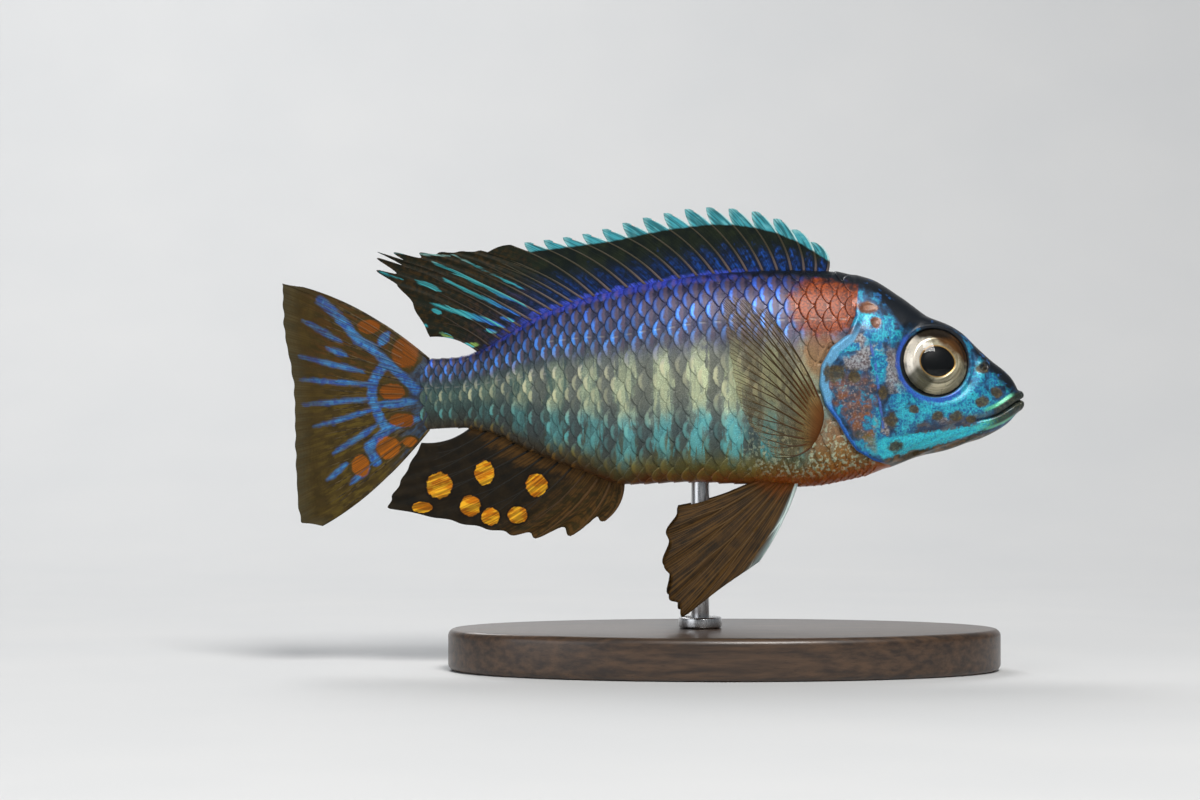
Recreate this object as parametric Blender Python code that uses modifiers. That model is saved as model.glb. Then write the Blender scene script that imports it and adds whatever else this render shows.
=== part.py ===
# A male peacock cichlid, life size, swimming level on a plain display stand.
# Sizes are in millimetres. The standard length, from the snout to the root of
# the tail fin, is 100, so each size on the fish is also a percent of it.
# A station is a distance behind the snout, and a level is a height above the
# axis of the body.

import math

import bmesh
import bpy
import numpy as np
from mathutils import Matrix, Vector

MM = 0.001

STANDARD_LENGTH = 100.0
SNOUT_X = 50.0
AXIS_HEIGHT = 45.0
GAP = 0.3
SIDES = {"right": -1.0, "left": 1.0}

# Outline of the body seen from the side, and its half width from above.
BACK_LEVEL = [
    (0.9, 1.5), (2.3, 3.8), (5.7, 6.7), (10.7, 11.0), (15.7, 13.6), (20.7, 17.2),
    (26.0, 20.3), (32.7, 21.6), (40.0, 21.7), (50.0, 21.3), (60.0, 20.0),
    (70.0, 17.9), (80.0, 14.6), (86.0, 11.2), (91.0, 8.3), (95.0, 7.3), (100.0, 7.0),
]
BELLY_LEVEL = [
    (0.9, -1.8), (2.3, -3.5), (5.7, -5.7), (10.7, -7.7), (17.3, -9.5), (21.5, -10.9),
    (27.3, -13.0), (37.3, -14.6), (47.0, -14.1), (56.0, -13.8), (66.3, -14.2),
    (74.0, -11.8), (82.0, -8.8), (89.0, -5.6), (94.0, -4.8), (100.0, -5.1),
]
HALF_WIDTH = [
    (0.9, 1.6), (2.3, 2.6), (5.7, 3.7), (10.0, 4.9), (15.0, 6.1), (20.0, 7.1),
    (27.0, 8.1), (34.0, 8.6), (43.0, 8.5), (53.0, 7.9), (63.0, 6.9), (73.0, 5.4),
    (82.0, 3.9), (90.0, 2.7), (100.0, 1.7),
]
WIDEST_SHARE = [(0.9, 0.45), (15.0, 0.42), (30.0, 0.44), (50.0, 0.47), (100.0, 0.5)]
UPPER_ROUNDNESS = [(0.9, 2.2), (12.0, 2.4), (24.0, 2.0), (40.0, 1.9), (100.0, 2.0)]
LOWER_ROUNDNESS = [(0.9, 2.2), (14.0, 2.1), (35.0, 2.3), (65.0, 2.1), (100.0, 2.0)]
RING_POINTS = 32
RING_STATIONS = [0.9, 1.4, 2.3, 3.6, 5.2, 7.0, 9.0, 11.0, 13.0, 15.0, 17.0, 19.0,
                 21.0, 23.0, 25.0, 27.0, 29.0, 31.0, 33.0, 35.5, 39.0, 43.0, 48.0,
                 53.0, 58.0, 63.0, 67.0, 71.0, 75.0, 79.0, 83.0, 87.0, 91.0, 95.0,
                 100.0]
TAIL_CUT_STATION = 66.0

# The tail sweeps a little to the left, away from the viewer of the right side.
SWEEP_START = 45.0
SWEEP_RATE = 0.00085

# Gill opening, from over the nape, round the rear of the gill cover, to under the throat.
GILL_LINE = [
    (27.6, 26.0), (27.9, 19.0), (28.6, 14.0), (30.0, 10.8), (32.7, 8.7), (34.4, 5.7),
    (34.8, 2.4), (33.8, -0.8), (31.8, -3.4), (30.3, -6.0), (28.5, -8.3), (25.7, -9.9),
    (22.6, -10.8), (19.5, -13.5), (18.5, -18.0),
]
GILL_COVER_FRONT = [(24.2, -9.3), (24.3, -5.0), (24.6, -0.8), (25.2, 3.3), (25.8, 7.5), (26.6, 10.6)]
GILL_COVER_TOP, GILL_COVER_FOOT = 3, 11
GILL_COVER_THICKNESS = 1.3
GILL_COVER_RAISE = 0.35

MOUTH_OPENING = [
    (-2.0, 0.75), (2.4, -0.15), (4.2, -1.4), (6.2, -2.9), (8.2, -3.95),
    (6.2, -3.2), (4.2, -2.15), (2.4, -1.1), (-2.0, -0.3),
]
MOUTH_DEPTH = 1.5
UPPER_LIP = [(1.15, 0.0, 1.2), (1.6, 1.3, 1.0), (3.0, 2.35, 0.3), (4.6, 3.05, -1.1),
             (6.1, 3.5, -2.3), (7.6, 3.85, -3.35)]
LOWER_LIP = [(0.6, 0.0, -1.35), (1.2, 1.35, -1.55), (2.6, 2.4, -2.15), (4.3, 3.05, -2.95),
             (6.0, 3.5, -3.75), (7.7, 3.9, -4.3)]
LIP_RADIUS = 0.85
LIP_CORNER_SHARE = 0.45

EYE_STATION, EYE_LEVEL = 15.25, 6.3
EYE_RADIUS = 5.5
EYE_HALF_DEPTH = 2.4
EYE_OUT = 4.6
EYE_TILT_UP, EYE_TURN_FORWARD = math.radians(9.0), math.radians(12.0)
NOSTRIL_STATION, NOSTRIL_LEVEL = 7.2, 5.6
NOSTRIL_RADIUS = 0.55

# Half thicknesses of the fins.
MEMBRANE, SPINE, RAY, EDGE = 0.26, 0.5, 0.42, 0.18

DORSAL_SPINES, DORSAL_RAYS = 16, 11
DORSAL_SPINE_BASE = [(0, 32.9), (3, 38.8), (15, 71.5)]
DORSAL_SPINE_TIP_STATION = [(0, 34.3), (2, 40.3), (5, 51.5), (10, 68.8), (15, 85.0)]
DORSAL_SPINE_TIP_LEVEL = [(0, 26.0), (1, 28.1), (3, 31.1), (5, 31.8), (8, 30.1), (11, 27.4), (15, 25.6)]
DORSAL_NOTCH = [(0, 0.3), (1, 0.42), (3, 0.6), (5, 0.7), (15, 0.84)]
DORSAL_RAY_BASE = [(0, 73.3), (10, 90.8)]
DORSAL_RAY_TIP_STATION = [(0, 90.7), (3, 100.7), (5, 108.0), (7, 108.2), (8, 104.2), (10, 99.2)]
DORSAL_RAY_TIP_LEVEL = [(0, 25.0), (3, 24.7), (5, 24.8), (7, 21.7), (8, 18.6), (10, 10.6)]
LAPPET_BACK, LAPPET_RISE = 1.5, 0.3
SPINE_BOW = 0.9

ANAL_SPINES, ANAL_RAYS = 3, 9
ANAL_BASE = [(0, 66.9), (2, 70.7), (3, 72.9), (11, 92.0)]
ANAL_TIP_STATION = [(0, 70.0), (1, 75.7), (2, 81.5), (4, 89.3), (6, 99.0), (7, 106.3), (9, 104.0), (11, 100.6)]
ANAL_TIP_LEVEL = [(0, -20.2), (1, -22.7), (2, -23.1), (4, -21.7), (6, -19.6), (7, -18.0), (9, -13.3), (11, -7.2)]

CAUDAL_RAYS = 17
CAUDAL_TIP_STATION = [(0.0, 120.8), (0.06, 124.2), (0.25, 124.0), (0.5, 122.2), (0.75, 121.9), (0.94, 120.9), (1.0, 117.4)]
CAUDAL_TIP_LEVEL = [(0.0, 19.0), (0.06, 19.6), (0.25, 13.0), (0.5, 1.2), (0.75, -10.8), (0.94, -20.6), (1.0, -21.2)]
CAUDAL_BOW = 1.6
CAUDAL_FLESH = 5.0

PECTORAL_RAYS = 13
PECTORAL_ROOT_TOP, PECTORAL_ROOT_FOOT = (34.0, -1.9), (35.7, -7.4)
PECTORAL_TIP_STATION = [(0, 43.7), (1, 46.8), (3, 50.8), (6, 49.5), (9, 47.6), (12, 42.3)]
PECTORAL_TIP_LEVEL = [(0, 14.7), (2, 17.0), (3, 16.0), (7, 4.2), (12, -9.3)]
PECTORAL_FLARE = 0.11
PECTORAL_STEM = 0.9
PECTORAL_FLESH = 0.7

PELVIC_RAYS = 6
PELVIC_BASE = [(0, 38.0), (5, 43.6)]
PELVIC_TIP_STATION = [(0, 44.6), (1, 57.2), (2, 59.4), (3, 60.2), (4, 59.6), (5, 57.6)]
PELVIC_TIP_LEVEL = [(0, -26.7), (1, -35.5), (2, -32.6), (3, -27.2), (4, -22.0), (5, -17.7)]
PELVIC_OUT = 2.7
PELVIC_SPLAY = 0.33
PELVIC_ROOT_DEPTH = 2.0

BASE_LENGTH, BASE_WIDTH, BASE_THICKNESS, BASE_EDGE = 92.0, 50.0, 7.0, 1.2
ROD_STATION, ROD_RADIUS, ROD_SOCKET_DEPTH = 54.0, 1.5, 4.0
COLLAR_RADIUS, COLLAR_HEIGHT = 3.6, 1.6

COLOURS = {
    "flank_skin": (0.34, 0.40, 0.42),
    "head_skin": (0.05, 0.22, 0.33),
    "gill_cover_skin": (0.13, 0.34, 0.45),
    "fin_dark": (0.045, 0.040, 0.020),
    "fin_brown": (0.14, 0.075, 0.02),
    "fin_clear": (0.33, 0.22, 0.09),
    "eye_silver": (0.62, 0.55, 0.42),
    "stand_wood": (0.07, 0.045, 0.03),
    "stand_steel": (0.62, 0.62, 0.62),
}


def material(name, roughness=0.45, metallic=0.0):
    """A plain finish in one of the fish's or the stand's colours."""
    made = bpy.data.materials.get(name)
    if made is None:
        made = bpy.data.materials.new(name)
        made.use_nodes = True
        shader = made.node_tree.nodes["Principled BSDF"]
        shader.inputs["Base Color"].default_value = (*COLOURS[name], 1.0)
        shader.inputs["Roughness"].default_value = roughness
        shader.inputs["Metallic"].default_value = metallic
    return made


def smooth(knots):
    """A curve through the knots (position, value) that never overshoots them."""
    at, value = np.array(knots, float).T
    step = np.diff(at)
    slope = np.diff(value) / step
    tangent = np.concatenate([slope[:1], np.zeros(len(at) - 2), slope[-1:]])
    for i in range(1, len(at) - 1):
        if slope[i - 1] * slope[i] > 0:
            before, after = 2 * step[i] + step[i - 1], step[i] + 2 * step[i - 1]
            tangent[i] = (before + after) / (before / slope[i - 1] + after / slope[i])

    def curve(x):
        x = np.clip(x, at[0], at[-1])
        i = np.clip(np.searchsorted(at, x, side="right") - 1, 0, len(step) - 1)
        t = (x - at[i]) / step[i]
        rise = value[i + 1] * t**2 * (3 - 2 * t) + value[i] * (1 - t) ** 2 * (1 + 2 * t)
        lean = tangent[i] * t * (1 - t) ** 2 - tangent[i + 1] * t**2 * (1 - t)
        return rise + step[i] * lean

    return curve


def ease(share):
    """0 to 1 with a soft start and end."""
    share = np.clip(share, 0.0, 1.0)
    return share * share * (3 - 2 * share)


back_level, belly_level, half_width = smooth(BACK_LEVEL), smooth(BELLY_LEVEL), smooth(HALF_WIDTH)
widest_share = smooth(WIDEST_SHARE)
upper_roundness, lower_roundness = smooth(UPPER_ROUNDNESS), smooth(LOWER_ROUNDNESS)


def place(station, side, level):
    """A point of the fish in the scene, in metres, with the sweep of the tail."""
    sweep = SWEEP_RATE * np.maximum(np.asarray(station, float) - SWEEP_START, 0.0) ** 2
    x = SNOUT_X - np.asarray(station, float)
    return np.stack(np.broadcast_arrays(x, side + sweep, AXIS_HEIGHT + level), axis=-1) * MM


def body_ring(station, grow):
    """One cross-section of the body, grown outwards by some millimetres."""
    top, foot = float(back_level(station)) + grow, float(belly_level(station)) - grow
    middle = foot + (top - foot) * float(widest_share(station))
    width = float(half_width(station)) + grow
    angle = np.arange(RING_POINTS) * 2 * math.pi / RING_POINTS
    up = np.sin(angle) >= 0
    power = np.where(up, 2 / upper_roundness(station), 2 / lower_roundness(station))
    reach = np.where(up, top - middle, middle - foot)
    side = width * np.sign(np.cos(angle)) * np.abs(np.cos(angle)) ** power
    level = middle + reach * np.sign(np.sin(angle)) * np.abs(np.sin(angle)) ** power
    return place(station, side, level)


def body_side(station, level):
    """Half width of the body at one station and level."""
    top, foot = float(back_level(station)), float(belly_level(station))
    middle = foot + (top - foot) * float(widest_share(station))
    above = level >= middle
    reach = top - middle if above else middle - foot
    power = float(upper_roundness(station) if above else lower_roundness(station))
    share = min(abs(level - middle) / reach, 1.0)
    return float(half_width(station)) * (1 - share**power) ** (1 / power)


def mesh_object(name, shape, finish, collection):
    """An object from a bmesh, which is freed."""
    mesh = bpy.data.meshes.new(name)
    shape.to_mesh(mesh)
    shape.free()
    made = bpy.data.objects.new(name, mesh)
    collection.objects.link(made)
    if finish:
        mesh.materials.append(finish)
    return made


def body_form(name, grow, finish, collection):
    """The whole body as one closed loft from the snout to the root of the tail fin."""
    shape = bmesh.new()
    rings = [[shape.verts.new(p) for p in body_ring(s, grow)] for s in RING_STATIONS]
    for front, rear in zip(rings, rings[1:]):
        for i in range(RING_POINTS):
            j = (i + 1) % RING_POINTS
            shape.faces.new((front[i], front[j], rear[j], rear[i]))
    shape.faces.new(rings[0])
    shape.faces.new(rings[-1])
    bmesh.ops.recalc_face_normals(shape, faces=shape.faces)
    return mesh_object(name, shape, finish, collection)


def mesh_from_curve(curve_object, collection):
    """The curve as a mesh with its caps welded. The curve is removed."""
    bpy.context.view_layer.update()
    graph = bpy.context.evaluated_depsgraph_get()
    mesh = bpy.data.meshes.new_from_object(curve_object.evaluated_get(graph))
    shape = bmesh.new()
    shape.from_mesh(mesh)
    bmesh.ops.remove_doubles(shape, verts=shape.verts, dist=1e-6)
    bmesh.ops.recalc_face_normals(shape, faces=shape.faces)
    made = mesh_object(curve_object.name + "_mesh", shape, None, collection)
    made.matrix_world = curve_object.matrix_world
    bpy.data.objects.remove(curve_object)
    return made


def prism(name, outline, sides, collection):
    """An outline of (station, level) points extruded across the body between two sides."""
    data = bpy.data.curves.new(name, "CURVE")
    data.dimensions = "2D"
    data.fill_mode = "BOTH"
    data.extrude = abs(sides[1] - sides[0]) / 2 * MM
    spline = data.splines.new("POLY")
    spline.points.add(len(outline) - 1)
    spline.use_cyclic_u = True
    for point, (station, level) in zip(spline.points, outline):
        point.co = ((SNOUT_X - station) * MM, (AXIS_HEIGHT + level) * MM, 0.0, 1.0)
    made = bpy.data.objects.new(name, data)
    collection.objects.link(made)
    middle = Matrix.Translation((0.0, sum(sides) / 2 * MM, 0.0))
    made.matrix_world = middle @ Matrix.Rotation(math.pi / 2, 4, "X")
    return mesh_from_curve(made, collection)


def eye_turn(side):
    """The turn of an eye that looks a little upwards and forwards."""
    forward = Matrix.Rotation(-side * EYE_TURN_FORWARD, 4, "Z")
    return forward @ Matrix.Rotation(side * EYE_TILT_UP, 4, "X")


def ball(name, centre, radii, finish, collection, segments=24, turn=None):
    """A closed ellipsoid with its poles at its sides. Its centre is (station, side, level)."""
    shape = bmesh.new()
    size = Matrix.Diagonal((*[r * MM for r in radii], 1.0))
    poles = Matrix.Rotation(math.pi / 2, 4, "X")
    where = Matrix.Translation(Vector(place(*centre)))
    if turn:
        where = where @ turn
    bmesh.ops.create_uvsphere(shape, u_segments=segments, v_segments=segments // 2,
                              radius=1.0, matrix=where @ size @ poles)
    made = mesh_object(name, shape, finish, collection)
    made.data.shade_smooth()
    return made


def combine(target, other, operation):
    """A Boolean modifier on the target."""
    change = target.modifiers.new(operation.lower() + "_" + other.name, "BOOLEAN")
    change.operation = operation
    change.object = other
    change.solver = "EXACT"


def settle(node):
    """Apply the node's modifiers and keep only its largest closed surface."""
    bpy.context.view_layer.update()
    graph = bpy.context.evaluated_depsgraph_get()
    mesh = bpy.data.meshes.new_from_object(node.evaluated_get(graph))
    node.modifiers.clear()
    shape = bmesh.new()
    shape.from_mesh(mesh)
    bmesh.ops.remove_doubles(shape, verts=shape.verts, dist=1e-6)
    left, surfaces = set(shape.verts), []
    while left:
        surface = {left.pop()}
        edge = list(surface)
        while edge:
            near = {e.other_vert(v) for v in edge for e in v.link_edges} & left
            left -= near
            surface |= near
            edge = list(near)
        surfaces.append(surface)
    largest = max(surfaces, key=len)
    bmesh.ops.delete(shape, geom=[v for v in shape.verts if v not in largest], context="VERTS")
    shape.to_mesh(mesh)
    shape.free()
    node.data = mesh


def offset_line(line, by):
    """A line of points moved sideways, towards its left as it runs."""
    points = np.array(line, float)
    along = np.gradient(points, axis=0)
    along /= np.linalg.norm(along, axis=1)[:, None]
    return points + by * np.stack([-along[:, 1], along[:, 0]], axis=1)


def refined(line, parts=3):
    """The same line with smooth points between its own."""
    points = np.array(line, float)
    index = np.arange(len(points))
    station, level = smooth(np.stack([index, points[:, 0]], 1)), smooth(np.stack([index, points[:, 1]], 1))
    fine = np.linspace(0, len(points) - 1, (len(points) - 1) * parts + 1)
    return np.stack([station(fine), level(fine)], axis=1)


def head_outline(gap):
    """Everything in front of the gill opening, seen from the side, moved rearwards by a gap."""
    line = offset_line(refined(GILL_LINE, 2), gap)
    return [(-6.0, line[0][1]), *map(tuple, line), (-6.0, line[-1][1])]


def grown(outline, grow):
    """A closed outline, listed clockwise as drawn with the head to the right, moved outwards."""
    points = np.array(outline, float)
    after = np.roll(points, -1, axis=0) - points
    after /= np.linalg.norm(after, axis=1)[:, None]
    before = np.roll(after, 1, axis=0)
    out = np.stack([after[:, 1] + before[:, 1], -after[:, 0] - before[:, 0]], axis=1)
    lean = 1 + (after * before).sum(axis=1)
    return points - grow * out / lean[:, None]


def gill_cover_outline(grow):
    """The plate of the gill cover seen from the side, grown all round and open at its rear."""
    rear = GILL_LINE[GILL_COVER_TOP:GILL_COVER_FOOT + 1]
    whole = grown([*rear, *GILL_COVER_FRONT], grow)
    if not grow:
        return whole
    corner = len(rear)
    return [whole[0], *(whole[1:corner - 1] + (4.0, 0.0)), whole[corner - 1], *whole[corner:]]


def lip(name, path, collection):
    """A lip as a tapered tube from one corner of the mouth round the front to the other."""
    half = np.array(path, float)
    whole = np.concatenate([half[:0:-1] * (1, -1, 1), half])
    index = np.arange(len(whole))
    coordinates = [smooth(np.stack([index, whole[:, k]], 1)) for k in range(3)]
    fine = np.linspace(0, len(whole) - 1, 2 * len(whole) - 1)
    data = bpy.data.curves.new(name, "CURVE")
    data.dimensions = "3D"
    data.bevel_depth = LIP_RADIUS * MM
    data.bevel_resolution = 2
    data.use_fill_caps = True
    spline = data.splines.new("POLY")
    spline.points.add(len(fine) - 1)
    middle = (len(whole) - 1) / 2
    for point, at in zip(spline.points, fine):
        station, side, level = (float(c(at)) for c in coordinates)
        point.co = (*place(station, side, level), 1.0)
        point.radius = 1.0 - (1.0 - LIP_CORNER_SHARE) * (abs(at - middle) / middle) ** 2
    made = bpy.data.objects.new(name, data)
    collection.objects.link(made)
    return mesh_from_curve(made, collection)


def fin_solid(name, sheet, half, finish, collection, normal=None):
    """A closed fin. sheet holds columns of points of its middle surface in metres, root
    first, and half holds half its thickness there. Both faces are split alike."""
    sheet, half = np.array(sheet, float), np.array(half, float) * MM
    if normal is None:
        normal = np.cross(np.gradient(sheet, axis=0), np.gradient(sheet, axis=1))
        normal /= np.linalg.norm(normal, axis=2)[..., None]
    faces = [sheet + normal * half[..., None], sheet - normal * half[..., None]]
    shape = bmesh.new()
    near, far = ([[shape.verts.new(p) for p in column] for column in face] for face in faces)
    columns, rows = half.shape
    for i in range(columns - 1):
        for j in range(rows - 1):
            for face in (near, far):
                a, b = face[i][j], face[i + 1][j]
                c, d = face[i + 1][j + 1], face[i][j + 1]
                shape.faces.new((a, b, c))
                shape.faces.new((a, c, d))
    rim = [(i, 0) for i in range(columns)] + [(columns - 1, j) for j in range(1, rows)]
    rim += [(i, rows - 1) for i in range(columns - 2, -1, -1)] + [(0, j) for j in range(rows - 2, 0, -1)]
    for (i, j), (k, m) in zip(rim, rim[1:] + rim[:1]):
        shape.faces.new((near[i][j], near[k][m], far[k][m]))
        shape.faces.new((near[i][j], far[k][m], far[i][j]))
    bmesh.ops.recalc_face_normals(shape, faces=shape.faces)
    return mesh_object(name, shape, finish, collection)


def ray_column(root, tip, bow, rows):
    """Points of one ray from root to tip, in (station, level), bowed forwards at its middle."""
    root, tip = np.array(root, float), np.array(tip, float)
    along = np.linspace(0.0, 1.0, rows)[:, None]
    across = np.array([tip[1] - root[1], root[0] - tip[0]])
    across /= np.linalg.norm(across)
    if across[0] > 0:
        across = -across
    return root + (tip - root) * along + across * bow * 4 * along * (1 - along)


def median_fin(name, columns, half, finish, collection):
    """A fin on the body's middle plane from columns of (station, level) points."""
    columns = np.array(columns, float)
    sheet = place(columns[..., 0], 0.0, columns[..., 1])
    return fin_solid(name, sheet, half, finish, collection, normal=np.array([0.0, 1.0, 0.0]))


def taper(thick, rows, edge=EDGE):
    """Half thicknesses of a ray or a membrane from its root to its tip."""
    along = np.linspace(0.0, 1.0, rows)
    return thick + (min(edge, thick) - thick) * along**2


def dorsal_fin(finish, collection, rows=6):
    """16 spines with a lappet of skin behind each tip, then 11 soft rays with filaments."""
    base, notch = smooth(DORSAL_SPINE_BASE), smooth(DORSAL_NOTCH)
    tip_station, tip_level = smooth(DORSAL_SPINE_TIP_STATION), smooth(DORSAL_SPINE_TIP_LEVEL)
    columns, half = [], []

    def add(station, tip, thick, bow):
        root = (station, float(back_level(station)) + GAP)
        columns.append(ray_column(root, tip, bow, rows))
        half.append(taper(thick, rows))

    def spine(i):
        """Base station, tip and the point where the skin in front of it ends."""
        root = np.array([base(i), back_level(base(i)) + GAP])
        tip = np.array([tip_station(i), tip_level(i)])
        return float(base(i)), tip, root + (tip - root) * float(notch(i))

    soft_base = smooth(DORSAL_RAY_BASE)
    soft_station, soft_level = smooth(DORSAL_RAY_TIP_STATION), smooth(DORSAL_RAY_TIP_LEVEL)
    for i in range(DORSAL_SPINES):
        station, tip, _ = spine(i)
        if i + 1 < DORSAL_SPINES:
            next_station, _, next_notch = spine(i + 1)
        else:
            next_station = float(soft_base(0))
            next_notch = np.array([soft_station(0) - 1.5, soft_level(0) - 0.6])
        lappet = tip + (LAPPET_BACK, LAPPET_RISE)
        add(station, tip, SPINE, SPINE_BOW)
        for share, top, thick in ((0.18, tip + (0.7, 0.25), MEMBRANE),
                                  (0.45, lappet, MEMBRANE),
                                  (0.86, next_notch, MEMBRANE)):
            add(station + (next_station - station) * share, top, thick, SPINE_BOW)
    for i in range(DORSAL_RAYS):
        station = float(soft_base(i))
        tip = np.array([soft_station(i), soft_level(i)])
        add(station, tip, RAY, SPINE_BOW)
        if i + 1 == DORSAL_RAYS:
            break
        next_tip = np.array([soft_station(i + 1), soft_level(i + 1)])
        root = np.array([station, back_level(station) + GAP])
        free = 0.16 if 4 <= i <= 7 else 0.03
        for share in (0.25, 0.75):
            top = tip + (next_tip - tip) * share
            add(station + (soft_base(i + 1) - station) * share, top - (top - root) * free,
                MEMBRANE, SPINE_BOW)
    return median_fin("dorsal_fin", columns, half, finish, collection)


def anal_fin(finish, collection, rows=6):
    """3 spines and 9 soft rays under the tail."""
    base = smooth(ANAL_BASE)
    tip_station, tip_level = smooth(ANAL_TIP_STATION), smooth(ANAL_TIP_LEVEL)
    columns, half = [], []
    rays = ANAL_SPINES + ANAL_RAYS
    for i in range(rays):
        shares = [0.0] if i + 1 == rays else [0.0, 0.25, 0.8]
        for share in shares:
            station = float(base(i + share))
            root = np.array([station, belly_level(station) - GAP])
            tip = np.array([tip_station(i + share), tip_level(i + share)])
            notch = 0.13 if i < ANAL_SPINES - 1 else 0.02
            tip = tip - (tip - root) * notch * (share > 0.5)
            thick = MEMBRANE if share else (SPINE if i < ANAL_SPINES else RAY)
            columns.append(ray_column(root, tip, SPINE_BOW, rows))
            half.append(taper(thick, rows))
    return median_fin("anal_fin", columns, half, finish, collection)


def caudal_fin(finish, collection, rows=8):
    """A fan of rays from the end of the tail stem, fleshy where it starts."""
    tip_station, tip_level = smooth(CAUDAL_TIP_STATION), smooth(CAUDAL_TIP_LEVEL)
    top, foot = float(back_level(STANDARD_LENGTH)), float(belly_level(STANDARD_LENGTH))
    middle, reach = (top + foot) / 2, (top - foot) / 2
    width = float(half_width(STANDARD_LENGTH))
    columns, half = [], []
    count = 3 * (CAUDAL_RAYS - 1) + 1
    for k in range(count):
        across = k / (count - 1)
        level = top - (top - foot) * (0.02 + 0.96 * across)
        tip = np.array([tip_station(across), tip_level(across)])
        spread = 2 * across - 1
        column = ray_column((STANDARD_LENGTH + GAP, level), tip, 0.0, rows)
        along = np.linspace(0.0, 1.0, rows)
        column[:, 1] -= np.sign(spread) * spread**2 * CAUDAL_BOW * 4 * along * (1 - along)
        thin = taper(RAY if k % 3 == 0 else MEMBRANE, rows)
        flesh = width * math.sqrt(max(1 - ((level - middle) / reach) ** 2, 0.0))
        fade = ease((column[:, 0] - STANDARD_LENGTH - GAP) / CAUDAL_FLESH)
        columns.append(column)
        half.append(np.maximum(thin, flesh + (thin - flesh) * fade))
    return median_fin("caudal_fin", columns, half, finish, collection)


def pectoral_fin(side_name, finish, collection, rows=7):
    """A fan laid back against the flank, on a short fleshy stem."""
    side = SIDES[side_name]
    tip_station, tip_level = smooth(PECTORAL_TIP_STATION), smooth(PECTORAL_TIP_LEVEL)
    root_top, root_foot = np.array(PECTORAL_ROOT_TOP), np.array(PECTORAL_ROOT_FOOT)
    sheet, half = [], []
    count = 3 * (PECTORAL_RAYS - 1) + 1
    for k in range(count):
        ray, across = k / 3, k / (count - 1)
        root = root_top + (root_foot - root_top) * across
        tip = np.array([tip_station(ray), tip_level(ray)])
        if k % 3:
            tip = tip - (tip - root) * 0.02
        column = ray_column(root, tip, SPINE_BOW, rows)
        reach = np.linalg.norm(column - root, axis=1)
        out = body_side(*root) + PECTORAL_STEM * ease(reach / 2.5) + PECTORAL_FLARE * reach
        points = place(column[:, 0], side * out, column[:, 1])
        start = place(root[0] - 0.4, side * (body_side(*root) - 1.2), root[1])
        sheet.append(np.concatenate([[start], points]))
        thin = taper(RAY if k % 3 == 0 else MEMBRANE, rows)
        flesh = PECTORAL_FLESH * math.sqrt(1 - (2 * across - 1) ** 2) + MEMBRANE
        fleshy = flesh + (thin - flesh) * ease(reach / 5.0)
        half.append(np.concatenate([[flesh], np.maximum(fleshy, thin)]))
    return fin_solid("pectoral_fin_" + side_name, sheet, half, finish, collection)


def pelvic_fin(side_name, finish, collection, rows=7):
    """One spine and five soft rays, lowered and spread out from under the belly."""
    side = SIDES[side_name]
    base = smooth(PELVIC_BASE)
    tip_station, tip_level = smooth(PELVIC_TIP_STATION), smooth(PELVIC_TIP_LEVEL)
    sheet, half = [], []
    for i in range(PELVIC_RAYS):
        shares = [0.0] if i + 1 == PELVIC_RAYS else [0.0, 0.3, 0.75]
        for share in shares:
            station = float(base(i + share))
            belly = float(belly_level(station))
            root = np.array([station, belly + PELVIC_ROOT_DEPTH])
            tip = np.array([tip_station(i + share), tip_level(i + share)])
            column = ray_column(root, tip, 0.6, rows)
            below = np.maximum(belly - column[:, 1], 0.0)
            out = PELVIC_OUT + PELVIC_SPLAY * below
            sheet.append(place(column[:, 0], side * out, column[:, 1]))
            half.append(taper(MEMBRANE if share else (SPINE if i == 0 else RAY), rows))
    return fin_solid("pelvic_fin_" + side_name, sheet, half, finish, collection)


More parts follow.
